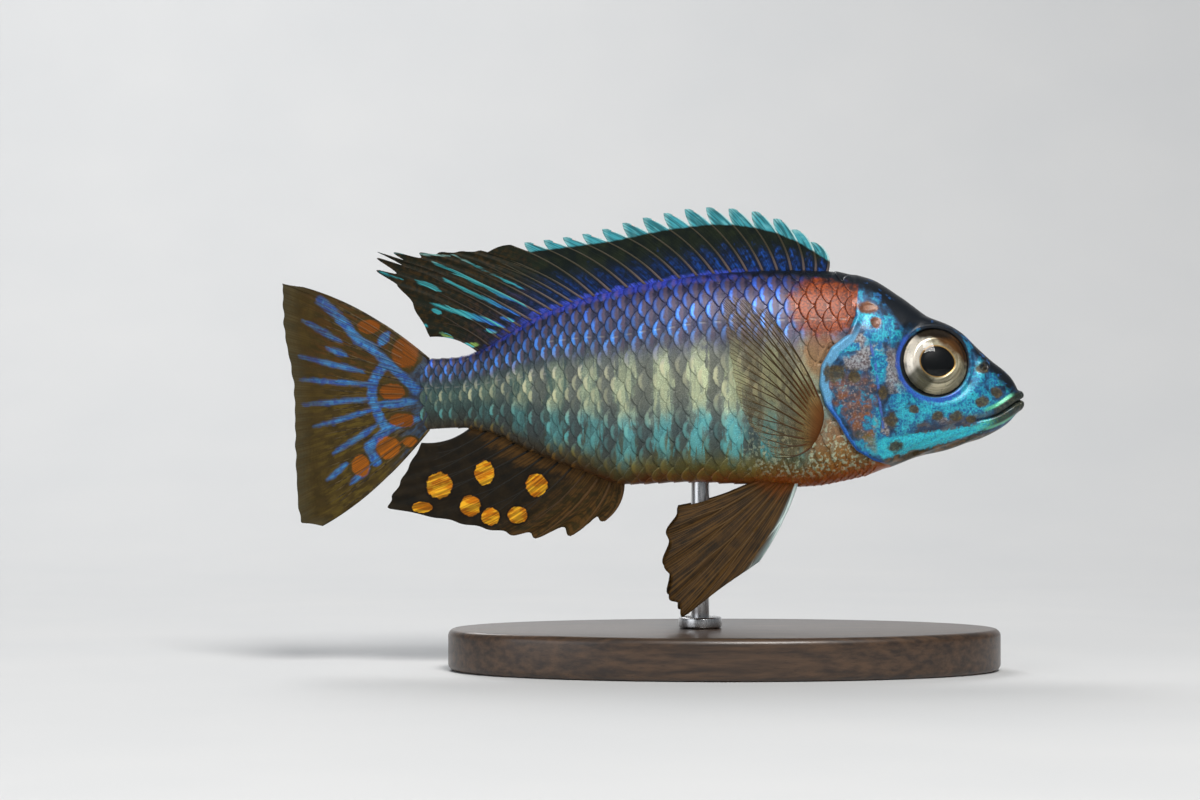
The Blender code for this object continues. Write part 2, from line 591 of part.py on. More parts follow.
def flesh_nodes(parts, cutters):
    """Head, gill covers, trunk and tail stem, parted from one body form by thin cuts."""
    skin = material("flank_skin")
    head = body_form("head", 0.0, material("head_skin"), parts)
    trunk = body_form("trunk", 0.0, skin, parts)
    tail = body_form("tail_stem", 0.0, skin, parts)

    for lip_object in (lip("upper_lip", UPPER_LIP, cutters), lip("lower_lip", LOWER_LIP, cutters)):
        combine(head, lip_object, "UNION")
    mouth = prism("mouth_opening", MOUTH_OPENING, (-8.0, 8.0), cutters)
    combine(mouth, body_form("mouth_core", -MOUTH_DEPTH, None, cutters), "DIFFERENCE")
    combine(head, mouth, "DIFFERENCE")
    combine(head, prism("head_side", head_outline(0.0), (-14.0, 14.0), cutters), "INTERSECT")

    plate_core = body_form("gill_cover_core", -GILL_COVER_THICKNESS, None, cutters)
    pocket_core = body_form("gill_pocket_core", -GILL_COVER_THICKNESS - GAP, None, cutters)
    for side_name, side in SIDES.items():
        reach = sorted((side * 2.0, side * 14.0))
        cover = body_form("gill_cover_" + side_name, GILL_COVER_RAISE, material("gill_cover_skin"), parts)
        plate = prism("gill_plate_" + side_name, gill_cover_outline(0.0), reach, cutters)
        combine(cover, plate, "INTERSECT")
        combine(cover, plate_core, "DIFFERENCE")
        pocket = prism("gill_pocket_" + side_name, gill_cover_outline(GAP), reach, cutters)
        combine(pocket, pocket_core, "DIFFERENCE")
        combine(head, pocket, "DIFFERENCE")

        centre = (EYE_STATION, side * EYE_OUT, EYE_LEVEL)
        radii = (EYE_RADIUS, EYE_HALF_DEPTH, EYE_RADIUS)
        turn = eye_turn(side)
        socket = ball("eye_socket_" + side_name, centre, [r + GAP for r in radii], None, cutters, turn=turn)
        combine(head, socket, "DIFFERENCE")
        ball("eye_" + side_name, centre, radii, material("eye_silver", 0.15), parts, turn=turn)

        nostril_out = side * body_side(NOSTRIL_STATION, NOSTRIL_LEVEL)
        pit = ball("nostril_" + side_name, (NOSTRIL_STATION, nostril_out, NOSTRIL_LEVEL),
                   (NOSTRIL_RADIUS,) * 3, None, cutters, segments=10)
        combine(head, pit, "DIFFERENCE")

    tail_line = [(-9.0, 40.0), (TAIL_CUT_STATION, 40.0), (TAIL_CUT_STATION, -40.0), (-9.0, -40.0)]
    before_tail = prism("before_tail", tail_line, (-14.0, 18.0), cutters)
    tail_line = [(s + GAP if s > 0 else s, z) for s, z in tail_line]
    before_tail_gap = prism("before_tail_gap", tail_line, (-14.0, 18.0), cutters)
    combine(trunk, prism("head_side_gap", head_outline(GAP), (-14.0, 14.0), cutters), "DIFFERENCE")
    combine(trunk, before_tail, "INTERSECT")
    combine(tail, before_tail_gap, "DIFFERENCE")
    settle(head)
    for node in parts.objects:
        node.data.shade_smooth()


def stand_nodes(parts, cutters):
    """An oval base with one rod from a socket in it up to the belly."""
    steel = material("stand_steel", 0.3, 1.0)
    rod_x = SNOUT_X - ROD_STATION
    sweep = SWEEP_RATE * (ROD_STATION - SWEEP_START) ** 2
    rod_foot = BASE_THICKNESS - ROD_SOCKET_DEPTH + GAP
    rod_top = AXIS_HEIGHT + float(belly_level(ROD_STATION)) - GAP

    def upright(name, low, high, radii, finish, collection, segments):
        shape = bmesh.new()
        middle = Matrix.Translation((radii[2] * MM, radii[3] * MM, (low + high) / 2 * MM))
        oval = Matrix.Diagonal((radii[0] * MM, radii[1] * MM, (high - low) * MM, 1.0))
        bmesh.ops.create_cone(shape, cap_ends=True, segments=segments, radius1=1.0,
                              radius2=1.0, depth=1.0, matrix=middle @ oval)
        return mesh_object(name, shape, finish, collection)

    def round_edges(node, width):
        edge = node.modifiers.new("round_edges", "BEVEL")
        edge.width = width * MM
        edge.segments = 2
        edge.limit_method = "ANGLE"
        edge.angle_limit = math.radians(50)

    base = upright("stand_base", 0.0, BASE_THICKNESS, (BASE_LENGTH / 2, BASE_WIDTH / 2, 0.0, 0.0),
                   material("stand_wood", 0.4), parts, 56)
    round_edges(base, BASE_EDGE)
    place_of_rod = (rod_x, sweep)
    socket = upright("rod_socket", BASE_THICKNESS - ROD_SOCKET_DEPTH, BASE_THICKNESS + 2.0,
                     (ROD_RADIUS + GAP, ROD_RADIUS + GAP, *place_of_rod), None, cutters, 20)
    combine(base, socket, "DIFFERENCE")
    upright("stand_rod", rod_foot, rod_top, (ROD_RADIUS, ROD_RADIUS, *place_of_rod), steel, parts, 20)
    collar = upright("stand_collar", BASE_THICKNESS + GAP, BASE_THICKNESS + GAP + COLLAR_HEIGHT,
                     (COLLAR_RADIUS, COLLAR_RADIUS, *place_of_rod), steel, parts, 28)
    round_edges(collar, 0.4)
    bore = upright("collar_bore", BASE_THICKNESS - 1.0, BASE_THICKNESS + 4.0,
                   (ROD_RADIUS + GAP, ROD_RADIUS + GAP, *place_of_rod), None, cutters, 20)
    combine(collar, bore, "DIFFERENCE")


def fin_nodes(parts, cutters):
    """All seven fins. Those on the flank and belly are cut clear of the trunk."""
    dark, brown, clear = material("fin_dark"), material("fin_brown"), material("fin_clear")
    dorsal_fin(dark, parts)
    anal_fin(dark, parts)
    caudal_fin(brown, parts)
    clearance = body_form("trunk_clearance", GAP, None, cutters)
    for side_name in SIDES:
        combine(pectoral_fin(side_name, clear, parts), clearance, "DIFFERENCE")
        combine(pelvic_fin(side_name, brown, parts), clearance, "DIFFERENCE")


def main():
    for old in list(bpy.data.objects):
        bpy.data.objects.remove(old)
    parts = bpy.data.collections.new("peacock_cichlid")
    cutters = bpy.data.collections.new("cutters")
    for collection in (parts, cutters):
        bpy.context.scene.collection.children.link(collection)
    flesh_nodes(parts, cutters)
    fin_nodes(parts, cutters)
    stand_nodes(parts, cutters)
    for helper in cutters.objects:
        helper.hide_render = True
        helper.display_type = "WIRE"


main()
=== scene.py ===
# %% [markdown]
# # A peacock cichlid on a display stand
# The object is a life-size model of a male peacock cichlid, a fish about 12 cm long.
# The solids already give its outline and its size. This script gives it a skin with a
# sculpted head, a coat of scales, fine fins with rays, real eyes, and the colours.
# Everything is placed from the same few named sizes as the solids.

# %% Load the solids as a fixed frame
import math

import bpy
import numpy as np
from mathutils import Matrix, Vector


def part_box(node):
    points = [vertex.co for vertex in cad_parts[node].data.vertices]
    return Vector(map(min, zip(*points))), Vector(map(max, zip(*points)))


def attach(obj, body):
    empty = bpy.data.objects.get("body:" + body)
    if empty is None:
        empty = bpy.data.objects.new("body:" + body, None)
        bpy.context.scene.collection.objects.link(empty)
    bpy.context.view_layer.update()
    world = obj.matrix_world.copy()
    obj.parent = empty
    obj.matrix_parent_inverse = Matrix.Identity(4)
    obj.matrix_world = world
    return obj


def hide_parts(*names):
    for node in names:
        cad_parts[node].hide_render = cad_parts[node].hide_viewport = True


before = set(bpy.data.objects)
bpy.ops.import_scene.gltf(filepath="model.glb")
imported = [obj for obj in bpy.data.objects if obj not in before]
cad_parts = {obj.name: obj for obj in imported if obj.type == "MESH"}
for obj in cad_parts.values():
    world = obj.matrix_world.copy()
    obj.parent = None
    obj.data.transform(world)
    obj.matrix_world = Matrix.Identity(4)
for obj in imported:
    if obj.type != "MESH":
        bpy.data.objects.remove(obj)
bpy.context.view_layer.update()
MM = 0.001
print("solids", sorted(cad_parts))

# %% [markdown]
# ## The shape of the body
# A fish is easiest to describe by stations along its length, as a boat is. A station is
# the distance in millimetres behind the snout, and a level is the height above the axis
# of the body. Three curves, the back, the belly and the half width, give the whole
# body. The shape could be read from the solids, but curves give it at any fineness.
# The tail sweeps a little to the left, away from the camera.

# %% Named sizes of the body, in millimetres
STANDARD_LENGTH = 100.0
SNOUT_X = 50.0
AXIS_HEIGHT = 45.0
SWEEP_START, SWEEP_RATE = 45.0, 0.00085
NOSE_TIP, NOSE_END, NOSE_LEVEL = 0.3, 0.9, 0.12
SIDES = {"right": -1.0, "left": 1.0}

BACK_LEVEL = [
    (0.9, 1.5), (2.3, 3.8), (5.7, 6.7), (10.7, 11.0), (15.7, 13.6), (20.7, 17.2), (26.0, 20.3),
    (32.7, 21.6), (40.0, 21.7), (50.0, 21.3), (60.0, 20.0), (70.0, 17.9), (80.0, 14.6), (86.0, 11.2),
    (91.0, 8.3), (95.0, 7.3), (100.0, 7.0)]
BELLY_LEVEL = [
    (0.9, -1.8), (2.3, -3.5), (5.7, -5.7), (10.7, -7.7), (17.3, -9.5), (21.5, -10.9), (27.3, -13.0),
    (37.3, -14.6), (47.0, -14.1), (56.0, -13.8), (66.3, -14.2), (74.0, -11.8), (82.0, -8.8), (89.0, -5.6),
    (94.0, -4.8), (100.0, -5.1)]
HALF_WIDTH = [
    (0.9, 1.6), (2.3, 2.6), (5.7, 3.7), (10.0, 4.9), (15.0, 6.1), (20.0, 7.1), (27.0, 8.1), (34.0, 8.6),
    (43.0, 8.5), (53.0, 7.9), (63.0, 6.9), (73.0, 5.4), (82.0, 3.9), (90.0, 2.7), (100.0, 1.7)]
WIDEST_SHARE = [(0.9, 0.45), (15.0, 0.42), (30.0, 0.44), (50.0, 0.47), (100.0, 0.5)]
UPPER_ROUNDNESS = [(0.9, 2.2), (12.0, 2.4), (24.0, 2.0), (40.0, 1.9), (100.0, 2.0)]
LOWER_ROUNDNESS = [(0.9, 2.2), (14.0, 2.1), (35.0, 2.3), (65.0, 2.1), (100.0, 2.0)]
print("stations of the back, belly and width:", len(BACK_LEVEL), len(BELLY_LEVEL), len(HALF_WIDTH))


# %% Smooth curves through a few knots
def smooth(knots):
    """A curve through the knots (position, value) that never overshoots them."""
    at, value = np.array(knots, float).T
    step = np.diff(at)
    slope = np.diff(value) / step
    tangent = np.concatenate([slope[:1], np.zeros(len(at) - 2), slope[-1:]])
    for i in range(1, len(at) - 1):
        if slope[i - 1] * slope[i] > 0:
            before, after = 2 * step[i] + step[i - 1], step[i] + 2 * step[i - 1]
            tangent[i] = (before + after) / (before / slope[i - 1] + after / slope[i])

    def curve(x):
        x = np.clip(x, at[0], at[-1])
        i = np.clip(np.searchsorted(at, x, side="right") - 1, 0, len(step) - 1)
        t = (x - at[i]) / step[i]
        rise = value[i + 1] * t**2 * (3 - 2 * t) + value[i] * (1 - t) ** 2 * (1 + 2 * t)
        lean = tangent[i] * t * (1 - t) ** 2 - tangent[i + 1] * t**2 * (1 - t)
        return rise + step[i] * lean

    return curve


def ease(x, low=0.0, high=1.0):
    """0 below low, 1 above high and a soft step between."""
    x = np.clip((np.asarray(x, float) - low) / (high - low), 0.0, 1.0)
    return x * x * (3 - 2 * x)


def unit(vectors):
    """Vectors in the last axis, each with a length of 1."""
    return vectors / np.maximum(np.linalg.norm(vectors, axis=-1, keepdims=True), 1e-12)


back_level, belly_level, half_width = smooth(BACK_LEVEL), smooth(BELLY_LEVEL), smooth(HALF_WIDTH)
widest_share = smooth(WIDEST_SHARE)
upper_roundness, lower_roundness = smooth(UPPER_ROUNDNESS), smooth(LOWER_ROUNDNESS)
print("depth of the body %.1f mm" % (back_level(37.0) - belly_level(37.0)))


# %% Places on the body
def place(station, side, level):
    """A point of the fish in the scene, in metres, with the sweep of the tail."""
    station = np.asarray(station, float)
    sweep = SWEEP_RATE * np.maximum(station - SWEEP_START, 0.0) ** 2
    return np.stack(np.broadcast_arrays(SNOUT_X - station, side + sweep, AXIS_HEIGHT + level), -1) * MM


def section(station, angle):
    """Side and level of the outline of a cross-section. An angle of 90 degrees is the back."""
    closing = np.sqrt(1 - np.clip((NOSE_END - station) / (NOSE_END - NOSE_TIP), 0, 1) ** 2)
    top = NOSE_LEVEL + (back_level(station) - NOSE_LEVEL) * closing
    foot = NOSE_LEVEL + (belly_level(station) - NOSE_LEVEL) * closing
    middle = foot + (top - foot) * widest_share(station)
    up = np.sin(angle) >= 0
    power = np.where(up, 2 / upper_roundness(station), 2 / lower_roundness(station))
    reach = np.where(up, top - middle, middle - foot)
    side = half_width(station) * closing * np.abs(np.cos(angle)) ** power
    return side, middle + reach * np.sign(np.sin(angle)) * np.abs(np.sin(angle)) ** power


def half_sections(stations, count):
    """Even points from the back to the belly along each half section, and its length."""
    angle = np.radians(np.linspace(90, -90, 541))
    side, level = section(stations[:, None], angle[None])
    length = np.cumsum(np.hypot(np.diff(side), np.diff(level)), axis=1)
    length = np.concatenate([np.zeros((len(stations), 1)), length], axis=1)
    share = np.linspace(0, 1, count)
    rows = [(np.interp(share * b[-1], b, s), np.interp(share * b[-1], b, z))
            for s, z, b in zip(side, level, length)]
    return np.array([r[0] for r in rows]), np.array([r[1] for r in rows]), length[:, -1]


TABLE_STEP, TABLE_COLUMNS = 0.25, 241
TABLE_STATIONS = np.arange(1.0, 103.01, TABLE_STEP)
TABLE_SIDE, TABLE_LEVEL, TABLE_GIRTH = half_sections(TABLE_STATIONS, TABLE_COLUMNS)
print("half girth at the deepest %.1f mm" % TABLE_GIRTH.max())


# %% [markdown]
# ## Measuring on the flank
# A marking on a fish is a line or a spot on its side. To paint and sculpt with them,
# three things are asked again and again: where a place on the flank lies, how far a
# point is from a line, and how far it is outside a spot. They could be drawn in an
# image, but a distance stays sharp at any size and can be roughened by noise.

# %% Points on the flank
def on_flank(station, share):
    """Side and level at a station and a share of the way from the back to the belly.

    A share under 0 or over 1 is a place past the middle line, on the other side of the fish.
    """
    across = (share < 0) | (share > 1)
    share = np.where(share < 0, -share, np.where(share > 1, 2 - share, share))
    row = np.clip((station - TABLE_STATIONS[0]) / TABLE_STEP, 0, len(TABLE_STATIONS) - 1.001)
    col = np.clip(share, 0, 1) * (TABLE_COLUMNS - 1.001)
    i, j = row.astype(int), col.astype(int)
    a, b = row - i, col - j

    def read(table):
        near = table[i, j] * (1 - b) + table[i, j + 1] * b
        far = table[i + 1, j] * (1 - b) + table[i + 1, j + 1] * b
        return near * (1 - a) + far * a

    return read(TABLE_SIDE) * np.where(across, -1, 1), read(TABLE_LEVEL)


print("side and level of the middle of the flank", *on_flank(np.array(40.0), np.array(0.5)))


# %% Distances to lines, spots and streaks
def line_distance(station, level, line):
    """Signed distance to a line of points, positive on the left as it runs."""
    station, level = np.broadcast_arrays(np.asarray(station, float), np.asarray(level, float))
    best = np.full(station.shape, 1e9)
    line = np.array(line, float)
    for (x0, z0), (x1, z1) in zip(line, line[1:]):
        dx, dz = x1 - x0, z1 - z0
        t = np.clip(((station - x0) * dx + (level - z0) * dz) / (dx * dx + dz * dz), 0, 1)
        away_x, away_z = station - x0 - t * dx, level - z0 - t * dz
        signed = np.hypot(away_x, away_z) * np.where(dx * away_z - dz * away_x >= 0, 1.0, -1.0)
        best = np.where(np.abs(signed) < np.abs(best), signed, best)
    return best


def spot_distance(station, level, spots):
    """Distance outside the nearest of some oval spots, in shares of its size."""
    away = [np.hypot((station - x) / rx, (level - z) / rz) - 1 for x, z, rx, rz in spots]
    return np.min(away, axis=0)


def streak_distance(station, level, streaks):
    """Distance in millimetres outside the nearest of some streaks. Straight ones taper at both ends."""
    away = []
    for line, width in streaks:
        (x0, z0), (x1, z1) = line[0], line[-1]
        along = ((station - x0) * (x1 - x0) + (level - z0) * (z1 - z0)) / ((x1 - x0) ** 2 + (z1 - z0) ** 2)
        taper = np.sqrt(np.clip(4 * along * (1 - along), 0.04, 1.0)) if len(line) == 2 else 1.0
        away.append(np.abs(line_distance(station, level, line)) - width / 2 * taper)
    return np.min(away, axis=0)


print("a point 2 mm above a line is %.1f mm from it" % line_distance(5, 2, [(0, 0), (10, 0)]))

# %% [markdown]
# ## Nodes in short
# Materials here are built from shader nodes. A small helper joins them, so that each
# finish reads as a few lines: a number, a colour or another node's output can go into
# any input, and values inside a material can stand in ordinary sums. Every effect that
# several finishes share is a node group of its own.

# %% A helper that adds and joins shader nodes
class Value:
    """A number inside a material, for ordinary sums. Each sum adds one node."""

    def __init__(self, nodes, socket):
        self.nodes = nodes
        self.socket = socket

    def __add__(self, other):
        return self.nodes.math("ADD", self, other)

    def __sub__(self, other):
        return self.nodes.math("SUBTRACT", self, other)

    def __rsub__(self, other):
        return self.nodes.math("SUBTRACT", other, self)

    def __mul__(self, other):
        return self.nodes.math("MULTIPLY", self, other)

    def __abs__(self):
        return self.nodes.math("ABSOLUTE", self)

    __radd__ = __add__
    __rmul__ = __mul__


class Nodes:
    """Adds nodes to a material or a node group and joins them."""

    def __init__(self, tree):
        self.tree = tree

    def add(self, kind, *inputs, out=0, **settings):
        """A node with its inputs filled in order. Returns one of its outputs."""
        node = self.tree.nodes.new("ShaderNode" + kind)
        for name, value in settings.items():
            setattr(node, name, value)
        for socket, value in zip([s for s in node.inputs if s.enabled], inputs):
            self.fill(socket, value)
        return [s for s in node.outputs if s.enabled][out]

    def fill(self, socket, value):
        """Joins a node's output to an input, or sets the input to a number or a colour."""
        if isinstance(value, Value):
            value = value.socket
        if isinstance(value, bpy.types.NodeSocket):
            self.tree.links.new(value, socket)
        elif socket.type == "RGBA" and len(value) == 3:
            socket.default_value = (*value, 1.0)
        else:
            socket.default_value = value

    def math(self, operation, *values):
        """One step of arithmetic."""
        return Value(self, self.add("Math", *values, operation=operation))

    def step(self, value, low, high):
        """A soft step from 0 at low to 1 at high."""
        ends = sorted((low, high))
        rise = Value(self, self.add("MapRange", value, *ends, 0.0, 1.0, interpolation_type="SMOOTHSTEP"))
        return 1.0 - rise if low > high else rise

    def mix(self, share, first, second, blend="MIX"):
        """A mix of two colours."""
        node = self.tree.nodes.new("ShaderNodeMix")
        node.data_type = "RGBA"
        node.blend_type = blend
        for name, value in (("Factor_Float", share), ("A_Color", first), ("B_Color", second)):
            self.fill(next(s for s in node.inputs if s.identifier == name), value)
        return next(s for s in node.outputs if s.identifier == "Result_Color")

    def blend(self, value, low, high, first, second):
        """One colour where a value is below low, another above high, and a soft step between."""
        return self.mix(self.step(value, low, high), first, second)

    def ramp(self, value, stops):
        """A colour ramp through stops (position, colour)."""
        node = self.tree.nodes.new("ShaderNodeValToRGB")
        elements = node.color_ramp.elements
        while len(elements) < len(stops):
            elements.new(0.5)
        for element, (position, colour) in zip(elements, stops):
            element.position = position
            element.color = (*colour, 1.0)
        self.fill(node.inputs[0], value)
        return node.outputs[0]

    def attribute(self, name):
        """The three numbers that the mesh keeps under a name."""
        node = self.tree.nodes.new("ShaderNodeAttribute")
        node.attribute_name = name
        parts = self.tree.nodes.new("ShaderNodeSeparateXYZ")
        self.tree.links.new(node.outputs["Vector"], parts.inputs[0])
        return [Value(self, s) for s in parts.outputs]

    def position(self):
        """The place in the object, in millimetres."""
        place_here = self.add("TexCoord", out=3)
        return self.add("VectorMath", place_here, (1000.0, 1000.0, 1000.0), operation="MULTIPLY")

    def noise(self, where, scale, detail, roughness=0.5):
        """Even noise from 0 to 1 at a scale per millimetre."""
        node = self.tree.nodes.new("ShaderNodeTexNoise")
        self.fill(node.inputs["Vector"], where)
        self.fill(node.inputs["Scale"], scale)
        self.fill(node.inputs["Detail"], detail)
        self.fill(node.inputs["Roughness"], roughness)
        return Value(self, node.outputs["Fac"])


print("node helper", [name for name in vars(Nodes) if not name.startswith("_")])


# %% Node groups, finishes and bumps
def node_group(name, inputs, outputs):
    """A new shader node group, its helper, its inputs by name and its output node."""
    tree = bpy.data.node_groups.new(name, "ShaderNodeTree")
    for title, kind, value in inputs:
        socket = tree.interface.new_socket(title, in_out="INPUT", socket_type="NodeSocket" + kind)
        socket.default_value = value
    for title, kind in outputs:
        tree.interface.new_socket(title, in_out="OUTPUT", socket_type="NodeSocket" + kind)
    source = tree.nodes.new("NodeGroupInput")
    target = tree.nodes.new("NodeGroupOutput")
    nodes = Nodes(tree)
    return tree, nodes, {s.name: Value(nodes, s) for s in source.outputs if s.name}, target.inputs


def use_group(nodes, tree, **values):
    """The group as a node in another tree, with named inputs filled. Returns its outputs."""
    node = nodes.tree.nodes.new("ShaderNodeGroup")
    node.node_tree = tree
    for name, value in values.items():
        nodes.fill(node.inputs[name.replace("_", " ")], value)
    return {s.name: Value(nodes, s) for s in node.outputs}


def finish(name, **settings):
    """A material with a Principled shader, and the helper for its nodes."""
    made = bpy.data.materials.new(name)
    made.use_nodes = True
    nodes = Nodes(made.node_tree)
    shader = made.node_tree.nodes["Principled BSDF"]
    for title, value in settings.items():
        shader.inputs[title.replace("_", " ")].default_value = value
    return made, nodes, shader


def bump(nodes, shader, height, distance, strength):
    """Raises the shading by a height in millimetres."""
    node = nodes.tree.nodes.new("ShaderNodeBump")
    node.inputs["Strength"].default_value = strength
    node.inputs["Distance"].default_value = distance * MM
    nodes.fill(node.inputs["Height"], height)
    nodes.fill(shader.inputs["Normal"], node.outputs[0])


print("Blender", bpy.app.version_string)

# %% [markdown]
# ## Meshes from arrays
# The skin, the scales and the fins are all grids of points, worked out with numpy. One
# helper turns such arrays into a mesh, notes on it the few numbers that its colours are
# read from, hangs the new piece under the model's root and hides the solids it replaces.

# %% A helper that makes a piece from arrays
def piece(name, points, faces, finish_used, slot, replaced, marks=None, unwrap=None):
    """A mesh piece of quads and triangles. marks are named rows of three numbers."""
    mesh = bpy.data.meshes.new(name)
    mesh.from_pydata(points.tolist(), [], faces)
    for title, values in (marks or {}).items():
        stored = mesh.attributes.new(title, "FLOAT_VECTOR", "POINT")
        stored.data.foreach_set("vector", np.ascontiguousarray(values, dtype=np.float32).ravel())
    if unwrap is not None:
        layer = mesh.uv_layers.new(name="OFBake")
        corner = np.empty(len(mesh.loops), dtype=np.int32)
        mesh.loops.foreach_get("vertex_index", corner)
        layer.data.foreach_set("uv", np.asarray(unwrap, dtype=np.float32)[corner].ravel())
    mesh.materials.append(finish_used)
    mesh.shade_smooth()
    made = bpy.data.objects.new(name, mesh)
    bpy.context.scene.collection.objects.link(made)
    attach(made, "root")
    if replaced:
        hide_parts(*replaced)
    print(name, len(mesh.polygons), "faces")
    return made


def grid_faces(rows, columns, ring=False, start=0):
    """Quads over a grid of points. A ring closes the columns round."""
    i = np.arange(rows - 1)[:, None]
    j = np.arange(columns if ring else columns - 1)[None]
    k = (j + 1) % columns
    corners = (i * columns + j, i * columns + k, (i + 1) * columns + k, (i + 1) * columns + j)
    return (np.stack(np.broadcast_arrays(*corners), -1).reshape(-1, 4) + start).tolist()


def tube_faces(rows, columns):
    """A grid that is closed round, with a cap on each end."""
    last = (rows - 1) * columns
    caps = [list(range(columns))[::-1], list(range(last, last + columns))]
    return grid_faces(rows, columns, ring=True) + caps


def sheet_faces(rows, columns):
    """Two grids, one over the other, and the rim between them: a thin closed sheet."""
    lower = rows * columns
    under = [f[::-1] for f in grid_faces(rows, columns, start=lower)]
    rim = list(range(columns)) + [i * columns + columns - 1 for i in range(1, rows)]
    rim += [(rows - 1) * columns + j for j in range(columns - 2, -1, -1)]
    rim += [i * columns for i in range(rows - 2, 0, -1)]
    sides = [(b, a, a + lower, b + lower) for a, b in zip(rim, rim[1:] + rim[:1])]
    return grid_faces(rows, columns) + under + sides


# %% [markdown]
# ## The markings
# The male's colours lie in bands from the black back to the orange belly, with bars on
# the flank, an orange patch behind the head and a turquoise face with dark sensory
# pits. Each mark is described once, by its place on the side of the fish. The skin
# and every scale store the distances to these marks, and one node group turns the
# distances into colours, with noise to roughen each edge, so skin and scales agree.

# %% Lines of the head, as station and level
GILL_LINE = [
    (27.6, 26.0), (27.9, 19.0), (28.6, 14.0), (30.0, 10.8), (32.7, 8.7), (34.4, 5.7), (34.8, 2.4),
    (33.8, -0.8), (31.8, -3.4), (30.3, -6.0), (28.5, -8.3), (25.7, -9.9), (22.6, -10.8), (19.5, -13.5),
    (18.5, -18.0)]
CHEEK_LINE = [
    (26.2, 9.0), (25.6, 6.5), (25.1, 3.0), (24.7, -1.0), (24.0, -5.2), (23.3, -8.2), (21.4, -9.4),
    (18.6, -9.2)]
MOUTH_LINE = [(-1.0, 0.3), (0.2, 0.15), (1.7, -0.5), (3.2, -1.5), (4.5, -2.3), (6.2, -3.0), (9.0, -3.7)]
JAW_BAND = [(3.4, -2.6), (5.2, -3.6), (8.0, -4.6), (11.0, -5.5), (15.0, -6.4), (19.5, -7.3), (23.5, -7.8)]
JAW_BAND_WIDTH = [(4.0, 0.3), (10.0, 0.7), (20.0, 1.5)]
DARK_TOP_LINE = [
    (-2.0, 0.9), (2.8, 1.6), (5.0, 3.9), (8.4, 8.0), (12.0, 11.2), (17.0, 11.6), (20.5, 11.6), (23.5, 15.4),
    (27.0, 18.6), (31.0, 19.6), (38.0, 20.4), (48.0, 20.6)]
EYE_STATION, EYE_LEVEL = 15.25, 6.3
print("lines", len(GILL_LINE), len(CHEEK_LINE), len(MOUTH_LINE), len(JAW_BAND), len(DARK_TOP_LINE), "points")

# %% Spots of the head, as station, level and half sizes
SENSORY_PITS = [
    (7.5, -0.3, 1.1, 0.8), (5.0, 1.2, 0.9, 0.9), (22.8, -3.3, 0.9, 1.3), (24.2, 1.2, 0.7, 1.2),
    (19.2, -1.5, 0.8, 0.6), (22.0, -7.7, 1.2, 1.0), (26.5, 15.2, 1.5, 0.9), (7.3, 5.3, 1.1, 0.9),
    (31.0, 11.3, 1.9, 0.8), (32.2, 4.4, 1.6, 1.5), (28.9, 3.9, 1.0, 1.0), (18.7, -9.0, 1.0, 0.7),
    (15.0, -2.6, 0.9, 0.7), (11.8, -2.7, 1.0, 0.8), (25.3, 12.7, 0.8, 0.8), (9.3, -3.2, 0.8, 0.6)]
CYAN_SPOTS = [
    (8.4, -0.4, 2.6, 2.5), (12.3, -1.9, 1.8, 1.2), (20.4, -3.4, 1.9, 2.5), (21.6, -0.4, 1.4, 1.3),
    (7.7, 4.9, 0.7, 2.0), (4.3, 2.8, 1.1, 0.5), (3.0, 1.8, 0.5, 0.6), (5.4, 3.9, 0.6, 0.6),
    (16.6, -1.7, 1.8, 0.9), (25.1, 10.6, 1.8, 1.0), (26.5, 13.4, 1.8, 1.2), (23.2, 12.4, 1.1, 1.6),
    (22.0, 10.6, 1.2, 0.9), (30.4, 12.9, 1.9, 0.8), (25.0, 5.6, 1.2, 2.7), (25.2, -7.4, 1.9, 1.5),
    (22.6, -7.2, 1.7, 1.2), (25.3, -3.6, 0.7, 2.2), (30.0, 1.9, 1.8, 0.5), (30.6, 8.6, 2.2, 0.8),
    (18.2, -3.0, 0.9, 1.0)]
GREY_SPOTS = [
    (28.2, 9.7, 1.3, 1.1), (26.4, 7.6, 2.2, 1.5), (22.7, 5.0, 1.2, 3.3), (21.3, 2.2, 1.1, 1.1),
    (28.2, 6.2, 2.2, 1.2), (23.9, -5.4, 0.7, 2.0), (14.0, -3.4, 1.0, 0.6)]
ORANGE_PATCH = [(33.0, 15.6, 6.6, 5.0), (29.6, 15.8, 2.6, 4.0)]
AMBER_PATCH = [(34.4, 8.0, 3.6, 4.4), (32.0, -7.5, 5.0, 4.6), (28.6, -2.6, 2.6, 4.4)]
print("spots", len(SENSORY_PITS), "pits,", len(CYAN_SPOTS), "bright and", len(GREY_SPOTS), "grey")


# %% What skin and scales store at each point
def distances(station, level):
    """The distances that the markings are read from, as three rows of three numbers."""
    station, level = np.broadcast_arrays(np.asarray(station, float), np.asarray(level, float))
    back, belly = back_level(station), belly_level(station)
    height = (back - level) / (back - belly)
    gill, jaw, mouth, cheek = (
        line_distance(station, level, line) for line in (GILL_LINE, JAW_BAND, MOUTH_LINE, CHEEK_LINE))
    pits, orange, amber, cyan, grey = (
        spot_distance(station, level, spots)
        for spots in (SENSORY_PITS, ORANGE_PATCH, AMBER_PATCH, CYAN_SPOTS, GREY_SPOTS))
    jaw = np.abs(jaw) - np.interp(station, *np.array(JAW_BAND_WIDTH).T)
    dark_top = level - np.interp(station, *np.array(DARK_TOP_LINE).T)
    eye = np.hypot(station - EYE_STATION, level - EYE_LEVEL)
    rows = {
        "lie": (station, level, height), "marks": (-gill, pits, jaw), "patches": (dark_top, orange, amber),
        "face": (cyan, grey, grey * 0), "features": (eye, mouth, cheek)}
    return {name: np.stack(three, -1).reshape(-1, 3) for name, three in rows.items()}


